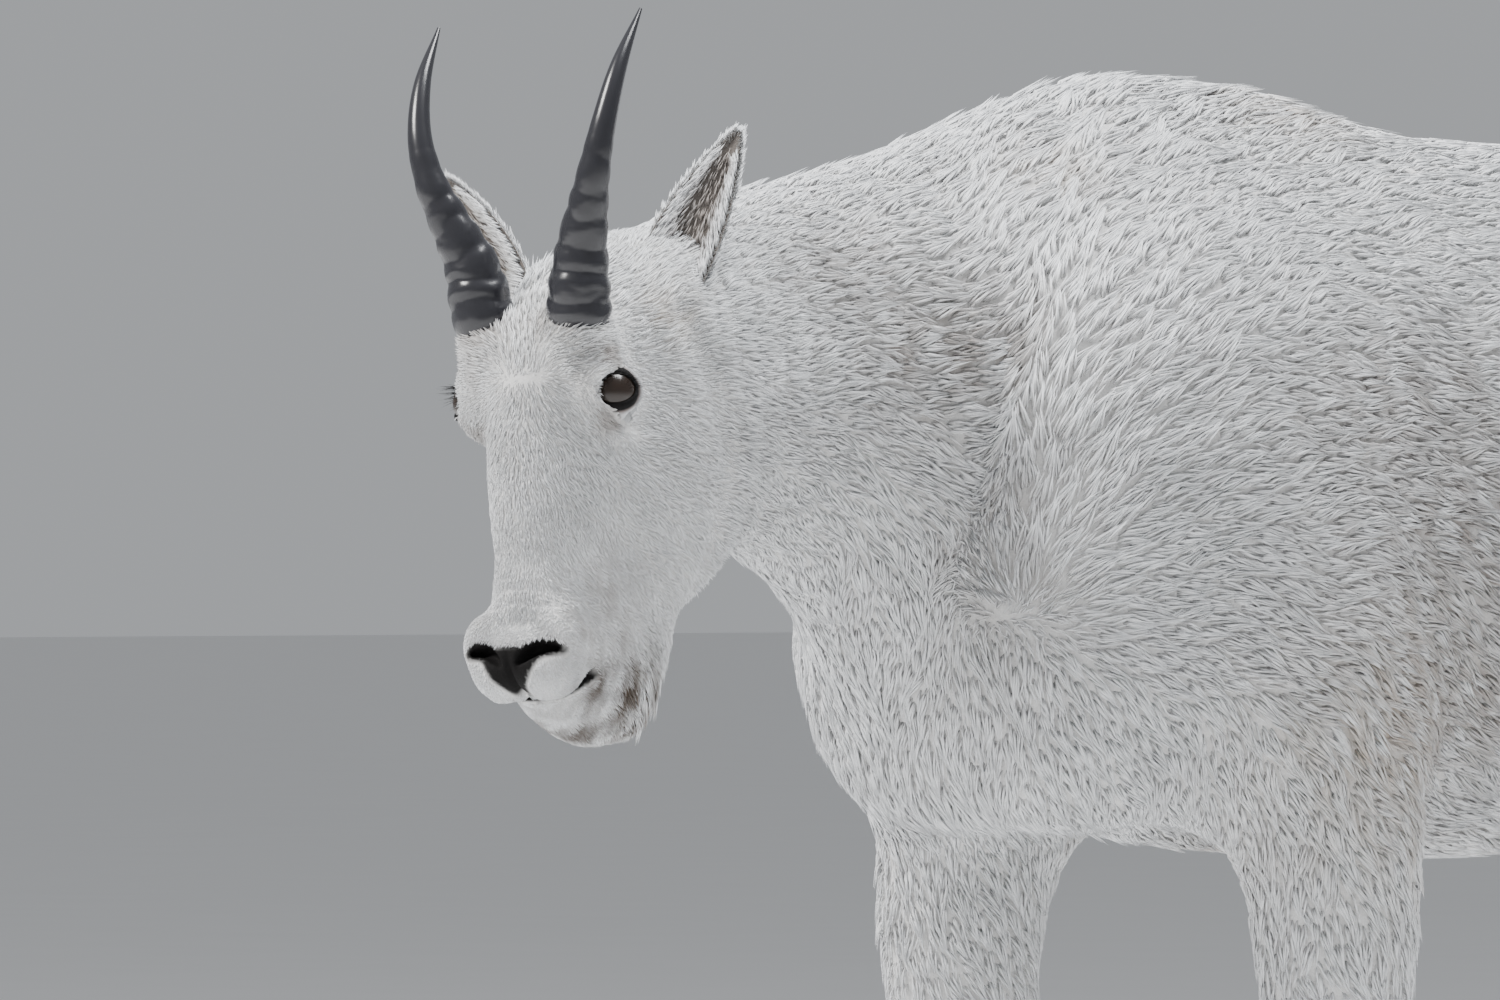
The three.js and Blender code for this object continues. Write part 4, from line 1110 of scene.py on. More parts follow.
class GOAT_OT_skin(bpy.types.Operator):
    """Make the goat's skin, which lies under the coat and replaces the solids of its flesh."""

    bl_idname = "goat.skin"
    bl_label = "Skin"

    def execute(self, context):
        skin = skin_surface()
        p = skin["points"]
        bare = bare_share(p)[:, None]
        # painted shade: the skin takes the coat's darker root colour, so gaps between tufts look shaded
        tint = mix(marked(p, shade("root") * 1.15), shade("bare"), bare)
        piece = mesh_of("skin", p, skin["quads"], skin_material(), tint)
        finish_piece(piece, FLESH)
        return {"FINISHED"}


# Tiles of the coat's unwrap, each rolled off round an axis: low u, low v, width, height
TILES = {
    "body": (0.01, 0.01, 0.60, 0.56),
    "head": (0.01, 0.60, 0.60, 0.38),
    "foreleg_left": (0.64, 0.01, 0.16, 0.32),
    "foreleg_right": (0.82, 0.01, 0.16, 0.32),
    "hindleg_left": (0.64, 0.36, 0.16, 0.32),
    "hindleg_right": (0.82, 0.36, 0.16, 0.32),
    "ear_left": (0.64, 0.71, 0.16, 0.26),
    "ear_right": (0.82, 0.71, 0.16, 0.26),
}
PATCH = 0.003  # a tuft's share of the unwrap
LEG_TOP = 470
FORE_X, HIND_X = 107, 103  # how far the feet stand from the midline


def place_in_tile(name, around, along):
    u, v, wide, high = TILES[name]
    return np.stack([u + wide * np.clip(around, 0, 1), v + high * np.clip(along, 0, 1)], -1)


def unwrapped(p):
    """Where points of the skin lie on its unwrap: round the face, round the trunk and down each leg."""
    h = in_head(p)
    turn = np.arctan2(p[:, 0], -(p[:, 2] - 760)) / (2 * math.pi) + 0.5
    made = place_in_tile("body", turn, (p[:, 1] + 640) / 1200)
    head = past_head(p) < -20
    turn = np.arctan2(h[:, 0], h[:, 1] + 60) / (2 * math.pi) + 0.5
    made[head] = place_in_tile("head", turn, (h[:, 2] + 90) / 300)[head]
    for label, side in SIDES.items():
        legs = (("foreleg", FOREFOOT[side], FORE_X), ("hindleg", HINDFOOT[side] - 20, HIND_X))
        for kind, foot, x in legs:
            on = (p[:, 2] < LEG_TOP) & (p[:, 0] * side > 0) & ((p[:, 1] > 100) == (kind == "hindleg"))
            turn = np.arctan2(p[:, 0] - x * side, p[:, 1] - foot) / (2 * math.pi) + 0.5
            made[on & ~head] = place_in_tile(f"{kind}_{label}", turn, p[:, 2] / LEG_TOP)[on & ~head]
    return made


def sampled(points, quads, density, random):
    """Places spread over quads, that many a square millimetre: each one's quad and share of its corners."""
    corner = points[quads]
    diagonal = np.cross(corner[:, 2] - corner[:, 0], corner[:, 3] - corner[:, 1])
    area = size_of(diagonal) / 2
    expected = np.cumsum(area * density)
    count = int(expected[-1])
    ticks = (np.arange(count) + random.random(count)) * (expected[-1] / count)
    chosen = np.minimum(np.searchsorted(expected, ticks), len(quads) - 1)
    u, v = random.random(count), random.random(count)
    shares = np.stack([(1 - u) * (1 - v), u * (1 - v), u * v, (1 - u) * v], -1)
    return chosen, shares


SPINDLE = np.array([(0, 2, 1), (0, 3, 2), (0, 1, 3), (4, 1, 2), (4, 2, 3), (4, 3, 1)])
SPINDLE_ALONG = np.array([0.0, 0.42, 0.42, 0.42, 1.0])
SPINDLE_UV = np.array([(0.5, 0), (0, 0.42), (0.5, 0.42), (1, 0.42), (0.5, 1)])
FOLLOWERS = 14  # tufts for each one that others are drawn to


def tufts(root, normal, way, length, width, lift, tint_root, tint_tip, uv, clump):
    """Closed flat tufts of six faces: a root under the skin, a ridge and a tip laid along the coat.

    clump is how far each tip is drawn towards that of a near tuft.
    """
    side = np.cross(way, normal)
    rise = length * np.sin(lift)
    run = length * np.cos(lift)
    middle = root + way * (run * 0.42)[:, None] + normal * (rise * 0.55)[:, None]
    tip = root + way * run[:, None] + normal * (rise * 0.8)[:, None]
    leaders = np.arange(0, len(root), FOLLOWERS)
    tree = KDTree(len(leaders))
    for n, leader in enumerate(leaders):
        tree.insert(root[leader], n)
    tree.balance()
    nearest = leaders[[tree.find(place)[1] for place in root]]
    pull = tip[nearest] - tip
    pull -= way * ((pull * way).sum(-1) * 0.6)[:, None]
    pull *= np.minimum(0.35 * length / np.maximum(size_of(pull), 1e-6), 1)[:, None]
    tip = tip + pull * clump[:, None]
    middle = middle + pull * (clump * 0.25)[:, None]
    half = (width / 2)[:, None]
    points = np.stack(
        [
            root - normal * (0.12 * length + 1)[:, None] - way * (0.05 * length)[:, None],
            middle + side * half - normal * half * 0.25,
            middle + normal * half * 0.55,
            middle - side * half - normal * half * 0.25,
            tip,
        ],
        1,
    )
    # painted shade: each tuft darkens from its tip towards its root, as deep in the coat
    tint = tint_root[:, None] + (tint_tip - tint_root)[:, None] * (SPINDLE_ALONG**0.7)[None, :, None]
    spots = uv[:, None] + (SPINDLE_UV - 0.5)[None] * PATCH
    return points.reshape(-1, 3), tint.reshape(-1, 3), spots.reshape(-1, 2)


MOST_TUFTS = 33000  # in one piece, to stay under 200,000 triangles


def add_coat(name, where, parts):
    """Joins the tufts that are marked in where into pieces of the coat."""
    points, tint, spots = parts
    chosen = np.flatnonzero(where)
    pieces = max(1, math.ceil(len(chosen) / MOST_TUFTS))
    for n, some in enumerate(np.array_split(chosen, pieces)):
        rows = (some[:, None] * 5 + np.arange(5)).ravel()
        faces = (SPINDLE[None] + 5 * np.arange(len(some))[:, None, None]).reshape(-1, 3)
        label = f"coat_{name}" + (f"_{n + 1}" if pieces > 1 else "")
        piece = mesh_of(label, points[rows], faces, hair_material(), tint[rows], spots[rows])
        finish_piece(piece)


def steered(way, sure, normal, root, random):
    """The way of the hair with its waves and a little disorder, more of it in a whorl."""
    side = np.cross(way, normal)
    small = head_share(root)
    long, short, fine = ripple(root, 70, 11), ripple(root, 26, 12), ripple(root, 9, 13)
    swing = 0.20 * long * (1 - small) + 0.16 * short + 0.10 * fine * small
    swing = swing + random.normal(size=len(root)) * (0.13 + 1.1 * (1 - sure) ** 2)
    return unit(way + side * swing[:, None])


NECK_END, SHOULDER_END, BARREL_END = -360, -60, 215  # along the trunk
LEAST_WIDTH = 0.45  # of a tuft
BURIED = 1.5  # places of the skin's surface that lie deeper than this are seams
EYE_MARGIN = 3.6  # kept free of tufts round each eye


def breadth(tall, small):
    """The width of tufts of that length, a little less on the head."""
    return tall * sizes().slim + LEAST_WIDTH - 0.17 * small


def wanted(middle):
    """How many tufts a square millimetre grow at points of the skin: none where it is bare or hidden."""
    sure = hair_way(middle, np.zeros_like(middle))[1]
    small = head_share(middle)
    tall = coat_length(middle) * (0.6 + 0.4 * sure)
    past, depth = past_head(middle), skin_field(middle)
    hidden = (past > -SEAM - OVERLAP) & (past < -SEAM) & (depth < -1)
    density = sizes().cover / (tall * breadth(tall, small)) * (bare_share(middle) < 0.5) * ~hidden
    density *= depth > -BURIED
    density *= mix(0.5, 1, ramp(middle[:, 2], 380, 560)) * (1 - 0.12 * small)
    for side in SIDES.values():
        density *= size_of(middle - eye_centre(side)) > EYE_RADIUS + EYE_MARGIN
    return density


def regions_of(p):
    """The parts of the coat by name, and which points are in each."""
    y = p[:, 1]
    head = past_head(p) < 0
    leg = ~head & (p[:, 2] < LEG_TOP)
    trunk = ~head & ~leg
    return {
        "head": head,
        "legs": leg,
        "neck": trunk & (y < NECK_END),
        "forequarters": trunk & (y >= NECK_END) & (y < SHOULDER_END),
        "barrel": trunk & (y >= SHOULDER_END) & (y < BARREL_END),
        "hindquarters": trunk & (y >= BARREL_END),
    }


class GOAT_OT_coat(bpy.types.Operator):
    """Cover the skin with short tufts that lie along the coat."""

    bl_idname = "goat.coat"
    bl_label = "Coat"

    def execute(self, context):
        random = np.random.default_rng(7)
        skin = skin_surface()
        points, quads = skin["points"], skin["quads"]
        chosen, shares = sampled(points, quads, wanted(points[quads].mean(1)), random)
        corner = quads[chosen]
        root = (points[corner] * shares[..., None]).sum(1)
        normal = unit((skin["normals"][corner] * shares[..., None]).sum(1))
        count, small = len(root), head_share(root)
        way, sure = hair_way(root, normal)
        way = steered(way, sure, normal, root, random)
        tall = coat_length(root) * (0.7 + 0.5 * random.random(count)) * (0.6 + 0.4 * sure)
        broad = breadth(tall, small) * (0.8 + 0.4 * random.random(count))
        lift = sizes().lift * (1 - 0.25 * small) * (0.75 + 0.5 * random.random(count))
        tone = 1 + (0.12 + 0.14 * small) * (random.random(count) - 0.5) + 0.06 * ripple(root, 40, 21)
        tip = marked(root, shade("tip")) * tone[:, None]
        base = marked(root, shade("root")) * tone[:, None]
        clump = mix(0.75, 0.35, small)
        parts = tufts(root, normal, way, tall, broad, lift, base, tip, unwrapped(root), clump)
        for name, where in regions_of(root).items():
            add_coat(name, where, parts)
        return {"FINISHED"}


# Eyes and lids

EYE_ROWS, EYE_SIDES = 40, 56


def ball(centre, radius, axis, across, up):
    """A sphere whose poles lie on its axis, with each point's place across, up and out."""
    lat = np.linspace(0.02, math.pi - 0.02, EYE_ROWS)
    lon = np.arange(EYE_SIDES) / EYE_SIDES * 2 * math.pi
    rings = []
    for a in lat:
        # the cornea stands a little proud of the ball
        proud = radius * (1 + 0.05 * math.exp(-((a / 0.55) ** 2)))
        out = np.cos(a) * axis
        flat = np.cos(lon)[:, None] * across + np.sin(lon)[:, None] * up
        rings.append(centre + proud * (out + np.sin(a) * flat))
    points, faces = loft(rings)
    rel = (points - centre) / radius
    return points, faces, rel @ across, rel @ up, rel @ axis


def eye_material():
    if "eye" in bpy.data.materials:
        return bpy.data.materials["eye"]
    wet = {"Coat_Weight": 0.15, "Coat_Roughness": 0.02}
    made, tree, shader = new_material("eye", Roughness=0.08, Specular_IOR_Level=0.3, **wet)
    read = nodes_in(tree)("ShaderNodeAttribute", attribute_name="tint")
    tree.links.new(read["Color"], shader.inputs["Base Color"])
    return made


class GOAT_OT_eyes(bpy.types.Operator):
    """Replace both eyes with balls that have an iris and a wide level pupil."""

    bl_idname = "goat.eyes"
    bl_label = "Eyes"

    def execute(self, context):
        for label, side in SIDES.items():
            centre, axis, across, up = eye_frame(side)
            points, faces, x, y, out = ball(centre, EYE_RADIUS * 0.99, axis, across, up)
            away = np.sqrt(x * x + y * y)
            pupil = (1 - ramp(np.abs(y), 0.14, 0.20)) * (1 - ramp(np.abs(x), 0.38, 0.46))
            iris = (1 - ramp(away, 0.66, 0.74)) * (out > 0)
            turn = np.arctan2(y, x)
            streak = 0.75 + 0.35 * np.sin(turn * 37) * np.sin(turn * 13 + 1)
            tint = mix(shade("bare") * 1.2, shade("iris") * streak[:, None], iris[:, None])
            tint = mix(tint, shade("bare") * 0.5, (pupil * iris)[:, None])
            piece = mesh_of(f"eyeball_{label}", points, faces, eye_material(), tint)
            finish_piece(piece, [f"eye_{label}"])
        return {"FINISHED"}


LID_SIDES = 72
LID_HALF_WIDTH, UPPER_LID, LOWER_LID = 12.4, 9.8, 8.2
# The lids' section from the eye outwards: distance past the rim, height over the ball, share of bare skin
LID_LINE = [
    (-0.6, -0.4, 1.0),
    (0.0, 1.0, 1.0),
    (1.1, 2.3, 1.0),
    (2.8, 2.7, 1.0),
    (4.2, 1.6, 0.75),
    (5.4, 1.0, 0.45),
    (7.2, 2.0, 0.0),
]


def lid_rim(angle):
    """Points of the lids' edge round the eye, across and up, as an almond."""
    tall = np.where(np.sin(angle) > 0, UPPER_LID, LOWER_LID)
    x = LID_HALF_WIDTH * np.cos(angle)
    y = tall * np.sin(angle) * (1 - 0.12 * np.cos(angle) ** 2) - 1.2 * np.cos(angle) ** 2
    return x, y


def over_eye(centre, axis, across, up, x, y, height):
    """Points at that place across and up the eye and that height over its ball."""
    out = np.sqrt(np.maximum(EYE_RADIUS**2 - x**2 - y**2, 2)) + height
    return centre + x[:, None] * across + y[:, None] * up + out[:, None] * axis


class GOAT_OT_lids(bpy.types.Operator):
    """Make the dark rims and folds of the lids round each eye."""

    bl_idname = "goat.lids"
    bl_label = "Lids"

    def execute(self, context):
        angle = np.arange(LID_SIDES) / LID_SIDES * 2 * math.pi
        share = [dark for _, _, dark in LID_LINE] + [0, 0, 1]
        share = np.tile(share, LID_SIDES)[:, None]
        for label, side in SIDES.items():
            centre, axis, across, up = eye_frame(side)
            x, y = lid_rim(angle)
            away = unit(np.stack([np.cos(angle), np.sin(angle)], -1))
            rings = []
            for out, over, _ in LID_LINE:
                height = over + 0.9 * np.maximum(np.sin(angle), 0) * (out > 3.9)
                px, py = x + away[:, 0] * out, y + away[:, 1] * out
                rings.append(over_eye(centre, axis, across, up, px, py, height))
            last = rings[-1] + (away[:, :1] * across + away[:, 1:] * up) * 5
            last = settled(skin_field, last, turns=3)
            under = last - unit(slope_of(skin_field, last)) * 5
            rings += [last, under, rings[0] - axis * 5]
            points, faces = loft(np.transpose(np.array(rings), (1, 0, 2)), closed=True)
            fold = (np.abs(share - 0.45) < 0.2) * 0.3
            tint = mix(marked(points, shade("tip") * 0.8), shade("bare"), np.clip(share * 1.6, 0, 1))
            tint = mix(tint, shade("flesh"), fold)
            piece = mesh_of(f"lids_{label}", points, faces, skin_material(), tint)
            finish_piece(piece)
        return {"FINISHED"}


# Horns, by geometry nodes along their curve

# Places along a horn in the head's frame, and its radius there
HORN_LINE = [
    (28, 4, -22, 15),
    (33, 18, -48, 18.3),
    (38, 27, -76, 15.6),
    (48, 39, -102, 11.8),
    (57, 48, -125, 9.2),
    (64, 51, -153, 7.3),
    (68, 44, -187, 5.1),
    (70, 25, -226, 1.0),
]


def horn_tree():
    """A tree that sweeps a ringed horn along a line of points that carry their girth."""
    if "ringed horn" in bpy.data.node_groups:
        return bpy.data.node_groups["ringed horn"]
    tree, inside, outside = group_named(
        "ringed horn",
        "GeometryNodeTree",
        [
            ("Geometry", "Geometry", None),
            ("Rings", "Float", 13.0),
            ("Ring Depth", "Float", 0.0018),
            ("Rings End", "Float", 0.6),
            ("Steps", "Int", 240),
            ("Sides", "Int", 48),
            ("Seed", "Float", 3.0),
            ("Material", "Material", None),
        ],
        [("Geometry", "Geometry")],
    )
    node = nodes_in(tree)

    def named(name):
        return node("GeometryNodeInputNamedAttribute", {"Name": name}, data_type="FLOAT")["Attribute"]

    def stored(geometry, name, value):
        inputs = {"Geometry": geometry, "Name": name, "Value": value}
        settings = {"data_type": "FLOAT", "domain": "POINT"}
        return node("GeometryNodeStoreNamedAttribute", inputs, **settings)["Geometry"]

    def maths(operation, *values):
        return node("ShaderNodeMath", dict(enumerate(values)), operation=operation)[0]

    curve = node("GeometryNodeMeshToCurve", {"Mesh": inside["Geometry"]})["Curve"]
    curve = node("GeometryNodeResampleCurve", {"Curve": curve, "Count": inside["Steps"]})["Curve"]
    curve = stored(curve, "along", node("GeometryNodeSplineParameter")["Factor"])
    girth = named("girth")
    curve = node("GeometryNodeSetCurveRadius", {"Curve": curve, "Radius": girth})["Curve"]
    circle = node("GeometryNodeCurvePrimitiveCircle", {"Radius": 1, "Resolution": inside["Sides"]})["Curve"]
    swept = {"Curve": curve, "Profile Curve": circle, "Scale": girth, "Fill Caps": True}
    horn = node("GeometryNodeCurveToMesh", swept)["Mesh"]
    # rings: a wave along the horn that noise makes uneven, fading out towards the tip
    share = named("along")
    noise = node("ShaderNodeTexNoise", {"Scale": 45, "W": inside["Seed"]}, noise_dimensions="4D")["Fac"]
    uneven = maths("MULTIPLY", maths("SUBTRACT", noise, 0.5), 1.3)
    turns = maths("MULTIPLY_ADD", maths("POWER", share, 0.85), inside["Rings"], uneven)
    wave = maths("SINE", maths("MULTIPLY", turns, 2 * math.pi))
    crest = maths("POWER", maths("MULTIPLY_ADD", wave, 0.5, 0.5), 0.7)
    fade = maths("SUBTRACT", 1, maths("MINIMUM", maths("DIVIDE", share, inside["Rings End"]), 1))
    fade = maths("POWER", fade, 0.6)
    fine = node("ShaderNodeTexNoise", {"Scale": 420})["Fac"]
    roughness = maths("MULTIPLY", maths("SUBTRACT", fine, 0.5), 0.35)
    height = maths("MULTIPLY", maths("ADD", crest, roughness), fade)
    height = maths("MULTIPLY", height, inside["Ring Depth"])
    horn = stored(horn, "crest", crest)
    normal = node("GeometryNodeInputNormal")["Normal"]
    offset = node("ShaderNodeVectorMath", {0: normal, "Scale": height}, operation="SCALE")[0]
    horn = node("GeometryNodeSetPosition", {"Geometry": horn, "Offset": offset})["Geometry"]
    horn = node("GeometryNodeRealizeInstances", {"Geometry": horn})["Geometry"]
    horn = node("GeometryNodeSetMaterial", {"Geometry": horn, "Material": inside["Material"]})["Geometry"]
    tree.links.new(horn, outside["Geometry"])
    return tree


def grown_by(name, points, edges, attributes, tree, values):
    """A plain mesh from a node tree run on points and edges, with its named inputs set."""
    mesh = bpy.data.meshes.new(name + "_line")
    mesh.from_pydata([tuple(p) for p in to_row(points)], edges, [])
    for key, data in attributes.items():
        kind = "FLOAT" if data.ndim == 1 else "FLOAT_VECTOR"
        field = "value" if data.ndim == 1 else "vector"
        mesh.attributes.new(key, kind, "POINT").data.foreach_set(field, data.astype(np.float32).ravel())
    line = bpy.data.objects.new(name + "_line", mesh)
    bpy.context.scene.collection.objects.link(line)
    modifier = line.modifiers.new("grow", "NODES")
    modifier.node_group = tree
    identifiers = {s.name: s.identifier for s in tree.interface.items_tree if s.in_out == "INPUT"}
    for key, value in values.items():
        modifier[identifiers[key]] = value
    bpy.context.view_layer.update()
    shown = line.evaluated_get(bpy.context.evaluated_depsgraph_get())
    made = bpy.data.meshes.new_from_object(shown)
    made.name = name
    line.modifiers.clear()
    bpy.data.objects.remove(line)
    piece = bpy.data.objects.new(name, made)
    bpy.context.scene.collection.objects.link(piece)
    made.polygons.foreach_set("use_smooth", np.full(len(made.polygons), True))
    return piece


def horn_material():
    if "horn" in bpy.data.materials:
        return bpy.data.materials["horn"]
    made, tree, shader = new_material("horn", Specular_IOR_Level=0.3)
    node = nodes_in(tree)
    along = node("ShaderNodeAttribute", attribute_name="along")["Fac"]
    crest = node("ShaderNodeAttribute", attribute_name="crest")["Fac"]
    place = node("ShaderNodeTexCoord")["Object"]
    noise = node("ShaderNodeTexNoise", {"Scale": 60, "Detail": 6, "Vector": place})["Fac"]
    shift = node("ShaderNodeMath", {0: noise, 1: 0.22, 2: along}, operation="MULTIPLY_ADD")[0]
    inputs = {"From Min": 0.42, "From Max": 0.66, "Value": shift}
    change = node("ShaderNodeMapRange", inputs, interpolation_type="SMOOTHSTEP")["Result"]
    # painted shade and light: the ringed base is darker in the rings' hollows and lighter on their crests
    hollow, ridge = (*(shade("horn_base") * 0.45), 1), (*(shade("horn_base") * 1.7), 1)
    low = node("ShaderNodeMix", {0: crest, MIX_A: hollow, MIX_B: ridge}, data_type="RGBA")[MIX_RESULT]
    inputs = {0: change, MIX_A: low, MIX_B: (*shade("horn"), 1)}
    both = node("ShaderNodeMix", inputs, data_type="RGBA")[MIX_RESULT]
    grained(tree, shader, both, 500, 0.9, 0.0005, 0.25)
    rough = node("ShaderNodeMapRange", {"To Min": 0.72, "To Max": 0.22, "Value": change})["Result"]
    tree.links.new(rough, shader.inputs["Roughness"])
    return made


class GOAT_OT_horns(bpy.types.Operator):
    """Sweep both horns along their curves, ringed at the base and smooth above."""

    bl_idname = "goat.horns"
    bl_label = "Horns"

    def execute(self, context):
        settings = sizes()
        for label, side in SIDES.items():
            line = smooth_line([(a * side, t, s, r) for a, t, s, r in HORN_LINE], 12)
            points = np.array([from_head(*row[:3]) for row in line])
            values = {
                "Rings": float(settings.rings),
                "Ring Depth": settings.ring_depth,
                "Seed": 3.0 + side,
                "Material": horn_material(),
            }
            edges = [(i, i + 1) for i in range(len(points) - 1)]
            girth = {"girth": line[:, 3] / 1000}
            piece = grown_by(f"horn_{label}_ringed", points, edges, girth, horn_tree(), values)
            finish_piece(piece, [f"horn_{label}"])
        return {"FINISHED"}


# Ears

EARS = {
    "left": {"root": (40, -54, -51), "tip": (79, -82, -178), "face": (0.3, 0.95, 0), "width": 46},
    "right": {"root": (-49, -56, -57), "tip": (-128, -80, -164), "face": (-0.2, 0.95, -0.3), "width": 47},
}
EAR_ROWS, EAR_COLUMNS = 40, 25


def ear_sheet(root, tip, face, width):
    """The ear as grids of outer and inner points, with its ways along, out of the cup and across."""
    start, end = from_head(*root), from_head(*tip)
    run = unit(end - start)
    front = head_way(*face)
    front = unit(front - run * (run @ front))
    across = np.cross(run, front)
    length = size_of(end - start)
    v = np.linspace(-1, 1, EAR_COLUMNS)
    outer, inner = [], []
    for share in np.linspace(0, 0.985, EAR_ROWS):
        half = (width / 2 - 1) * math.sin(math.pi * min(0.28 + 0.72 * share, 0.985)) ** 0.8
        half *= 0.7 + 1.5 * share if share < 0.2 else 1
        depth = 15 * (1 - share) ** 0.7 + 2
        opened = min(max((share - 0.06) / 0.25, 0), 1)
        at = start + run * (length * share) - front * (6 * share * share)
        bowl = -depth * (1 - v * v) + depth / 2
        filled = mix(depth * 1.1 * (1 - v * v), 1.9 * (1 - np.abs(v) ** 6), opened)
        outer.append(at + across * (half * v)[:, None] + front * bowl[:, None])
        inner.append(at + across * (half * v * 0.985)[:, None] + front * (bowl + filled)[:, None])
    return np.array(outer), np.array(inner), run, front, across


class GOAT_OT_ears(bpy.types.Operator):
    """Make both ears as thin cupped leaves with short hair outside and longer hair inside."""

    bl_idname = "goat.ears"
    bl_label = "Ears"

    def execute(self, context):
        random = np.random.default_rng(19)
        for label, form in EARS.items():
            outer, inner, run, front, across = ear_sheet(**form)
            rings = np.concatenate([outer, inner[:, ::-1]], 1)
            points, faces = loft(rings)
            cup = np.concatenate([np.zeros_like(outer[..., 0]), np.ones_like(inner[..., 0])], 1).ravel()
            cup = np.append(cup, [0, 0])[:, None]
            # painted shade: the back of the ear, under its hair, takes the darker root colour
            tint = mix(marked(points, shade("root")), shade("ear"), cup)
            piece = mesh_of(f"ear_{label}_leaf", points, faces, skin_material(), tint)
            finish_piece(piece, [f"ear_{label}"])
            self.hair(label, outer, inner, run, front, across, random)
        return {"FINISHED"}

    def hair(self, label, outer, inner, run, front, across, random):
        """Tufts on the back of the ear, along its edge and inside its cup."""
        rows = []
        for sheet, inside, count in ((outer, False, 5200), (inner, True, 1500)):
            if inside:
                u = 0.05 + 0.8 * random.random(count)
                rim = random.random(count) < 0.75
                v = np.where(rim, 0.02 + 0.16 * random.random(count), random.random(count))
                v = np.where(random.random(count) < 0.5, v, 1 - v)
            else:
                u, v = random.random(count) ** 0.9, random.random(count)
            i = np.minimum((u * (EAR_ROWS - 1)).astype(int), EAR_ROWS - 2)
            j = np.minimum((v * (EAR_COLUMNS - 1)).astype(int), EAR_COLUMNS - 2)
            down, beside = sheet[i + 1, j] - sheet[i, j], sheet[i, j + 1] - sheet[i, j]
            place = sheet[i, j] + down * random.random(count)[:, None]
            place = place + beside * random.random(count)[:, None]
            normal = unit(np.cross(down, beside))
            facing = (normal @ front) * (1 if inside else -1)
            normal = np.where((facing < 0)[:, None], -normal, normal)
            centred = (v * 2 - 1)[:, None]
            if inside:
                way = run - centred * across * 0.75 + front * 0.35
                tall = 13 - 6 * u
                low = mix(shade("ear"), shade("tip") * 0.6, np.abs(centred) ** 3)
                high = mix(shade("ear") * 2.2, shade("tip"), np.abs(centred) ** 2)
            else:
                way = run + centred * across * 0.25
                tall = 10 - 3.5 * u
                low = np.tile(shade("root"), (count, 1))
                high = np.tile(shade("tip") * 0.97, (count, 1))
            tall = tall * (0.75 + 0.5 * random.random(count))
            way = unit(way - normal * (way * normal).sum(-1)[:, None] * 0.8)
            way = unit(way + random.normal(size=(count, 3)) * 0.1)
            spots = place_in_tile(f"ear_{label}", v * 0.48 + (0.5 if inside else 0), u)
            lift = np.full(count, 0.3)
            rows.append((place, normal, way, tall, tall * 0.08 + 0.4, lift, low, high, spots))
        columns = [np.concatenate(column) for column in zip(*rows)]
        clump = np.full(len(columns[0]), 0.3)
        add_coat(f"ear_{label}", clump > 0, tufts(*columns, clump))


# Hooves

CLAW_LENGTH, CLAW_WIDTH, CLAW_SIDES = 92, 33, 36
CLEFT = 5
DEWCLAW_SIDES = 18


def claw_ring(x, y, z, inward, toe, heel, half):
    """A level ring of a claw, narrow at the toe and flatter on the side of the cleft."""
    angle = (np.arange(CLAW_SIDES) + 0.5) / CLAW_SIDES * 2 * math.pi
    side, along = np.sin(angle), np.cos(angle)
    narrow = np.where(along > 0, 1 - 0.35 * along * along, 1)
    wide = np.where(side * inward > 0, 0.82, 1)
    ring = np.empty((CLAW_SIDES, 3))
    ring[:, 0] = x + half * side * narrow * wide
    ring[:, 1] = y - np.where(along > 0, toe * along, heel * along)
    ring[:, 2] = z
    return ring


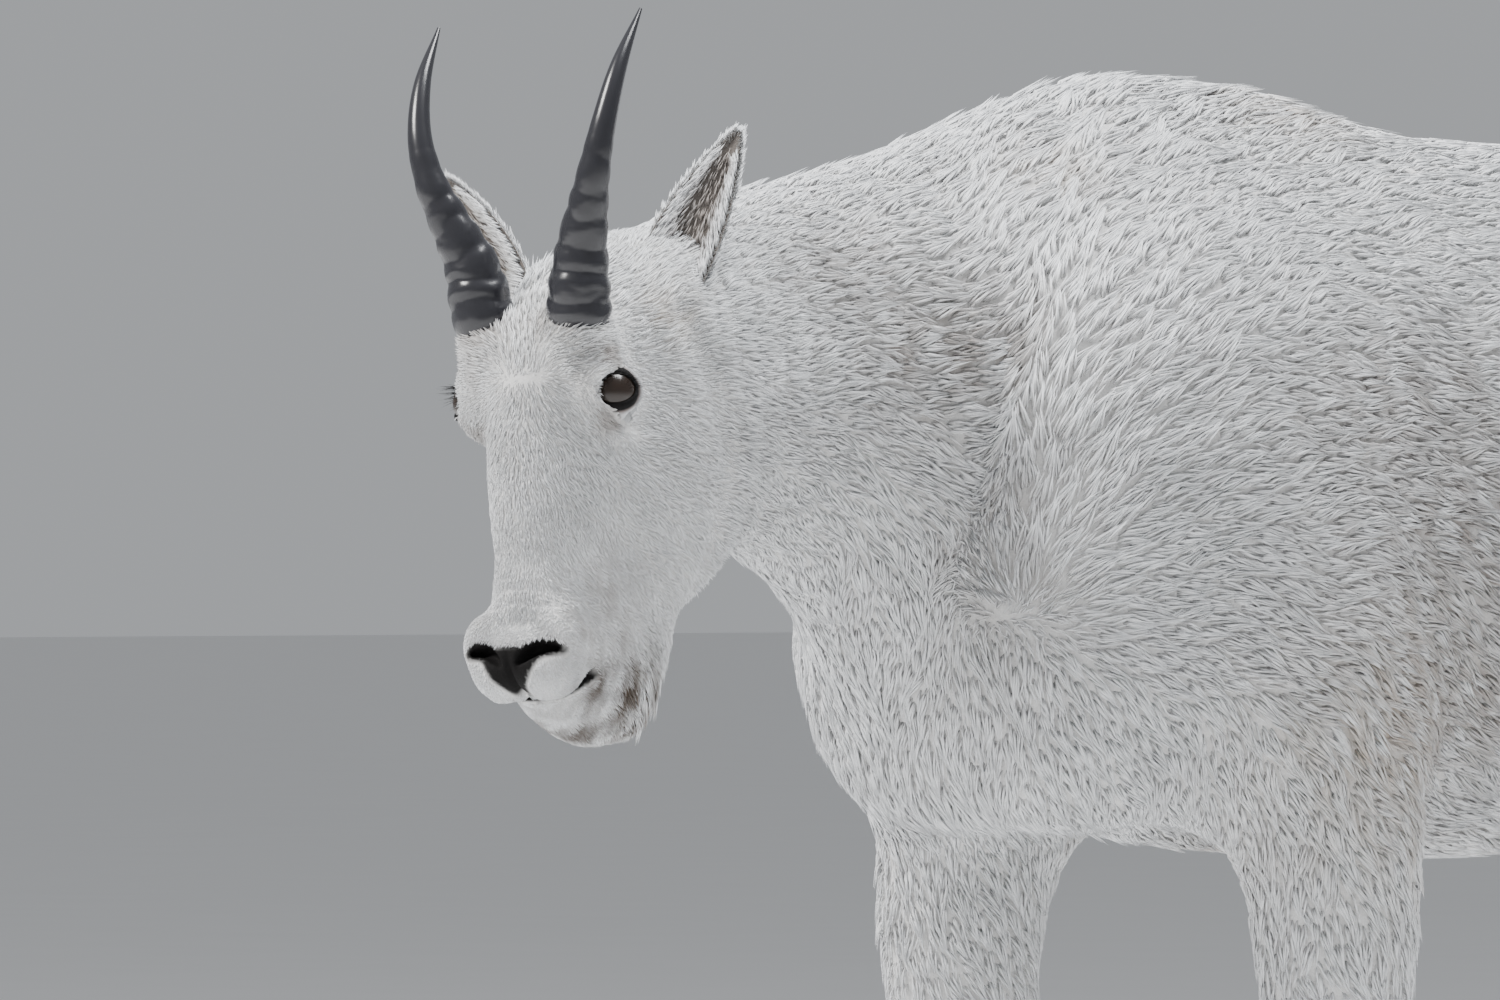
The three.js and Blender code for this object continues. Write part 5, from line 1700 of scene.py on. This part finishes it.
class GOAT_OT_hooves(bpy.types.Operator):
    """Make the two claws and two dewclaws of each foot."""

    bl_idname = "goat.hooves"
    bl_label = "Hooves"

    def execute(self, context):
        for label, side in SIDES.items():
            fore = ("foreleg", FORE_X * side, FOREFOOT[side] - 34)
            hind = ("hindleg", HIND_X * side, HINDFOOT[side] - 42)
            for kind, x, y in (fore, hind):
                parts, nodes = [], []
                for turn in (-1, 1):
                    nodes.append(f"claw_{kind}_{label}_{'outer' if turn * side > 0 else 'inner'}")
                    parts.append(self.claw(x + turn * (CLAW_WIDTH + CLEFT) / 2, y, turn))
                    parts.append(self.dewclaw(x, y, turn))
                points, faces = gathered(parts)
                hoof = material_of("hoof", shade("hoof"), 120, 0.7, 0.0008, 0.5, Specular_IOR_Level=0.4)
                piece = mesh_of(f"hoof_{kind}_{label}", points, faces, hoof)
                finish_piece(piece, nodes)
        return {"FINISHED"}

    def claw(self, x, y, turn):
        """A claw with faint growth rings, worn flat below."""
        half = CLAW_WIDTH / 2
        # height, toe, heel, half width
        line = smooth_line(
            [
                (5, 0.61, 0.40, half),
                (17, 0.555, 0.40, half - 0.2),
                (30, 0.50, 0.40, half - 0.5),
                (HOOF_TOP - 0.15, 0.40, 0.36, half - 3),
            ],
            6,
        )
        rows = [(0, 0.6, 0.38, half - 1.5, 0), (1.5, 0.606, 0.392, half - 0.4, 0)]
        for n, row in enumerate(line):
            rows.append((*row, -0.35 if n % 2 and n < len(line) - 2 else 0))
        rings = []
        for z, toe, heel, wide, groove in rows:
            toe, heel = CLAW_LENGTH * toe + groove, CLAW_LENGTH * heel + groove
            rings.append(claw_ring(x, y, z, -turn, toe, heel, wide + groove))
        return loft(rings)

    def dewclaw(self, x, y, turn):
        angle = np.arange(DEWCLAW_SIDES) / DEWCLAW_SIDES * 2 * math.pi
        line = [(15, 40, 94, 7, 8), (17, 56, 84, 8.5, 9), (18, 68, 72, 7.5, 8), (18, 73, 62, 3, 4)]
        rings = []
        for dx, dy, z, ra, rb in smooth_line(line, 4):
            ring = vec(x + dx * turn, y + dy, z) + np.cos(angle)[:, None] * ra * vec(1, 0, 0)
            rings.append(ring + np.sin(angle)[:, None] * rb * vec(0, 0.45, 0.9))
        return loft(rings)


# Lashes, by geometry nodes on their roots

def bristle_tree():
    """A tree that stands a tapered bristle on each point, along the way that the point carries."""
    if "bristles" in bpy.data.node_groups:
        return bpy.data.node_groups["bristles"]
    tree, inside, outside = group_named(
        "bristles",
        "GeometryNodeTree",
        [
            ("Geometry", "Geometry", None),
            ("Length", "Float", 0.011),
            ("Thickness", "Float", 0.0002),
            ("Seed", "Int", 5),
            ("Material", "Material", None),
        ],
        [("Geometry", "Geometry")],
    )
    node = nodes_in(tree)
    sides = {"Vertices": 5, "Side Segments": 3}
    ends = {"Radius Top": 0, "Radius Bottom": inside["Thickness"], "Depth": inside["Length"]}
    cone = node("GeometryNodeMeshCone", {**sides, **ends})["Mesh"]
    way = node("GeometryNodeInputNamedAttribute", {"Name": "way"}, data_type="FLOAT_VECTOR")["Attribute"]
    turn = node("FunctionNodeAlignRotationToVector", {"Vector": way}, axis="Z")["Rotation"]
    inputs = {2: 0.6, 3: 1.15, "Seed": inside["Seed"]}
    scale = node("FunctionNodeRandomValue", inputs, data_type="FLOAT")[1]
    points = node("GeometryNodeMeshToPoints", {"Mesh": inside["Geometry"]})["Points"]
    stood = {"Points": points, "Instance": cone, "Rotation": turn, "Scale": scale}
    made = node("GeometryNodeInstanceOnPoints", stood)["Instances"]
    made = node("GeometryNodeRealizeInstances", {"Geometry": made})["Geometry"]
    made = node("GeometryNodeSetMaterial", {"Geometry": made, "Material": inside["Material"]})["Geometry"]
    tree.links.new(made, outside["Geometry"])
    return tree


class GOAT_OT_lashes(bpy.types.Operator):
    """Stand lashes along the lids."""

    bl_idname = "goat.lashes"
    bl_label = "Lashes"

    def execute(self, context):
        settings = sizes()
        random = np.random.default_rng(23)
        dark = material_of("lash", shade("bare"), 200, 0.2, 0, 0.5)
        for label, side in SIDES.items():
            centre, axis, across, up = eye_frame(side)
            angle = np.linspace(0.12, math.pi - 0.12, settings.lashes)
            angle = angle + random.normal(size=settings.lashes) * 0.03
            x, y = lid_rim(angle)
            root = over_eye(centre, axis, across, up, x, y, 1.6)
            way = axis * 0.9 + np.cos(angle)[:, None] * across * 0.35 + np.sin(angle)[:, None] * up * 0.25
            way = unit(way - UP * 0.35 + random.normal(size=way.shape) * 0.12)
            values = {"Length": settings.lash, "Thickness": 0.00022, "Seed": 5, "Material": dark}
            piece = grown_by(f"lashes_{label}", root, [], {"way": way}, bristle_tree(), values)
            finish_piece(piece)
        return {"FINISHED"}


# Stage

CAMERA_AZIMUTH = math.radians(55)
CAMERA_TARGET = vec(-4.5, -494.6, 739)  # the point at the middle of the photograph
CAMERA_DISTANCE = 9000
PIXELS_A_MILLIMETRE = 1.64
IMAGE_WIDTH = 1500
SENSOR = 36
FLOOR_HALF = 60
LAMP_AIM = (0, -0.2, 0.7)
# Name, place, power, width and colour
LAMPS = (
    ("key", (-1.2, -4.7, 5.0), 620, 1.8, (1.0, 0.985, 0.96)),
    ("top", (0.6, 0.8, 4.8), 420, 2.0, (0.97, 0.985, 1.0)),
    ("rim", (-4.0, 2.5, 3.5), 110, 2.5, (0.95, 0.98, 1.0)),
)


class GOAT_OT_stage(bpy.types.Operator):
    """Set the floor, the lights and the camera."""

    bl_idname = "goat.stage"
    bl_label = "Stage"

    def execute(self, context):
        scene = context.scene
        mesh = bpy.data.meshes.new("floor")
        corners = [(x * FLOOR_HALF, y * FLOOR_HALF, 0) for x, y in ((-1, -1), (1, -1), (1, 1), (-1, 1))]
        mesh.from_pydata(corners, [], [(0, 1, 2, 3)])
        floor = bpy.data.objects.new("floor", mesh)
        mesh.materials.append(material_of("floor", shade("floor"), 4, 0.04, 0, 0.8))
        scene.collection.objects.link(floor)
        floor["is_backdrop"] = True
        world = bpy.data.worlds.new("studio")
        world.use_nodes = True
        sky = world.node_tree.nodes["Background"]
        sky.inputs["Color"].default_value = (0.93, 0.96, 1.0, 1)
        sky.inputs["Strength"].default_value = 0.42
        scene.world = world
        for name, place, power, wide, tint in LAMPS:
            lamp = bpy.data.lights.new(name, "AREA")
            lamp.energy, lamp.size, lamp.color = power, wide, tint
            made = bpy.data.objects.new(name, lamp)
            made.location = place
            aim = Vector(LAMP_AIM) - Vector(place)
            made.rotation_euler = aim.to_track_quat("-Z", "Y").to_euler()
            scene.collection.objects.link(made)
        back = vec(math.sin(CAMERA_AZIMUTH), -math.cos(CAMERA_AZIMUTH), 0)
        camera = bpy.data.cameras.new("camera")
        camera.sensor_width = SENSOR
        camera.lens = SENSOR * CAMERA_DISTANCE * PIXELS_A_MILLIMETRE / IMAGE_WIDTH
        eye = bpy.data.objects.new("camera", camera)
        target = Vector(to_row(CAMERA_TARGET))
        eye.location = target + Vector(back) * CAMERA_DISTANCE / 1000
        eye.rotation_euler = Vector(-back).to_track_quat("-Z", "Y").to_euler()
        camera.clip_end = 200
        scene.collection.objects.link(eye)
        scene.camera = eye
        return {"FINISHED"}


PIECES = (
    GOAT_OT_stage,
    GOAT_OT_skin,
    GOAT_OT_eyes,
    GOAT_OT_lids,
    GOAT_OT_horns,
    GOAT_OT_ears,
    GOAT_OT_hooves,
    GOAT_OT_lashes,
    GOAT_OT_coat,
)


class GOAT_PT_panel(bpy.types.Panel):
    """The goat's sizes, colours and pieces"""

    bl_label = "Mountain goat"
    bl_idname = "GOAT_PT_panel"
    bl_space_type = "VIEW_3D"
    bl_region_type = "UI"
    bl_category = "Goat"

    def draw(self, context):
        column = self.layout.column(align=True)
        for group in (context.scene.goat_sizes, context.scene.goat_colours):
            for key in group.bl_rna.properties.keys():
                if key not in ("rna_type", "name"):
                    column.prop(group, key)
        for piece in PIECES:
            column.operator(piece.bl_idname)


CLASSES = (GoatColours, GoatSizes, *PIECES, GOAT_PT_panel)


def register():
    for made in CLASSES:
        bpy.utils.register_class(made)
    bpy.types.Scene.goat_sizes = PointerProperty(type=GoatSizes)
    bpy.types.Scene.goat_colours = PointerProperty(type=GoatColours)


def unregister():
    del bpy.types.Scene.goat_colours
    del bpy.types.Scene.goat_sizes
    for made in reversed(CLASSES):
        bpy.utils.unregister_class(made)


def main():
    register()
    for piece in PIECES:
        group, name = piece.bl_idname.split(".")
        getattr(getattr(bpy.ops, group), name)()
    boxes = {"cad": FRAME_BOX, "visual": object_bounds()}
    {key: [list(corner) for corner in box] for key, box in boxes.items()}


if __name__ == "__main__":
    main()
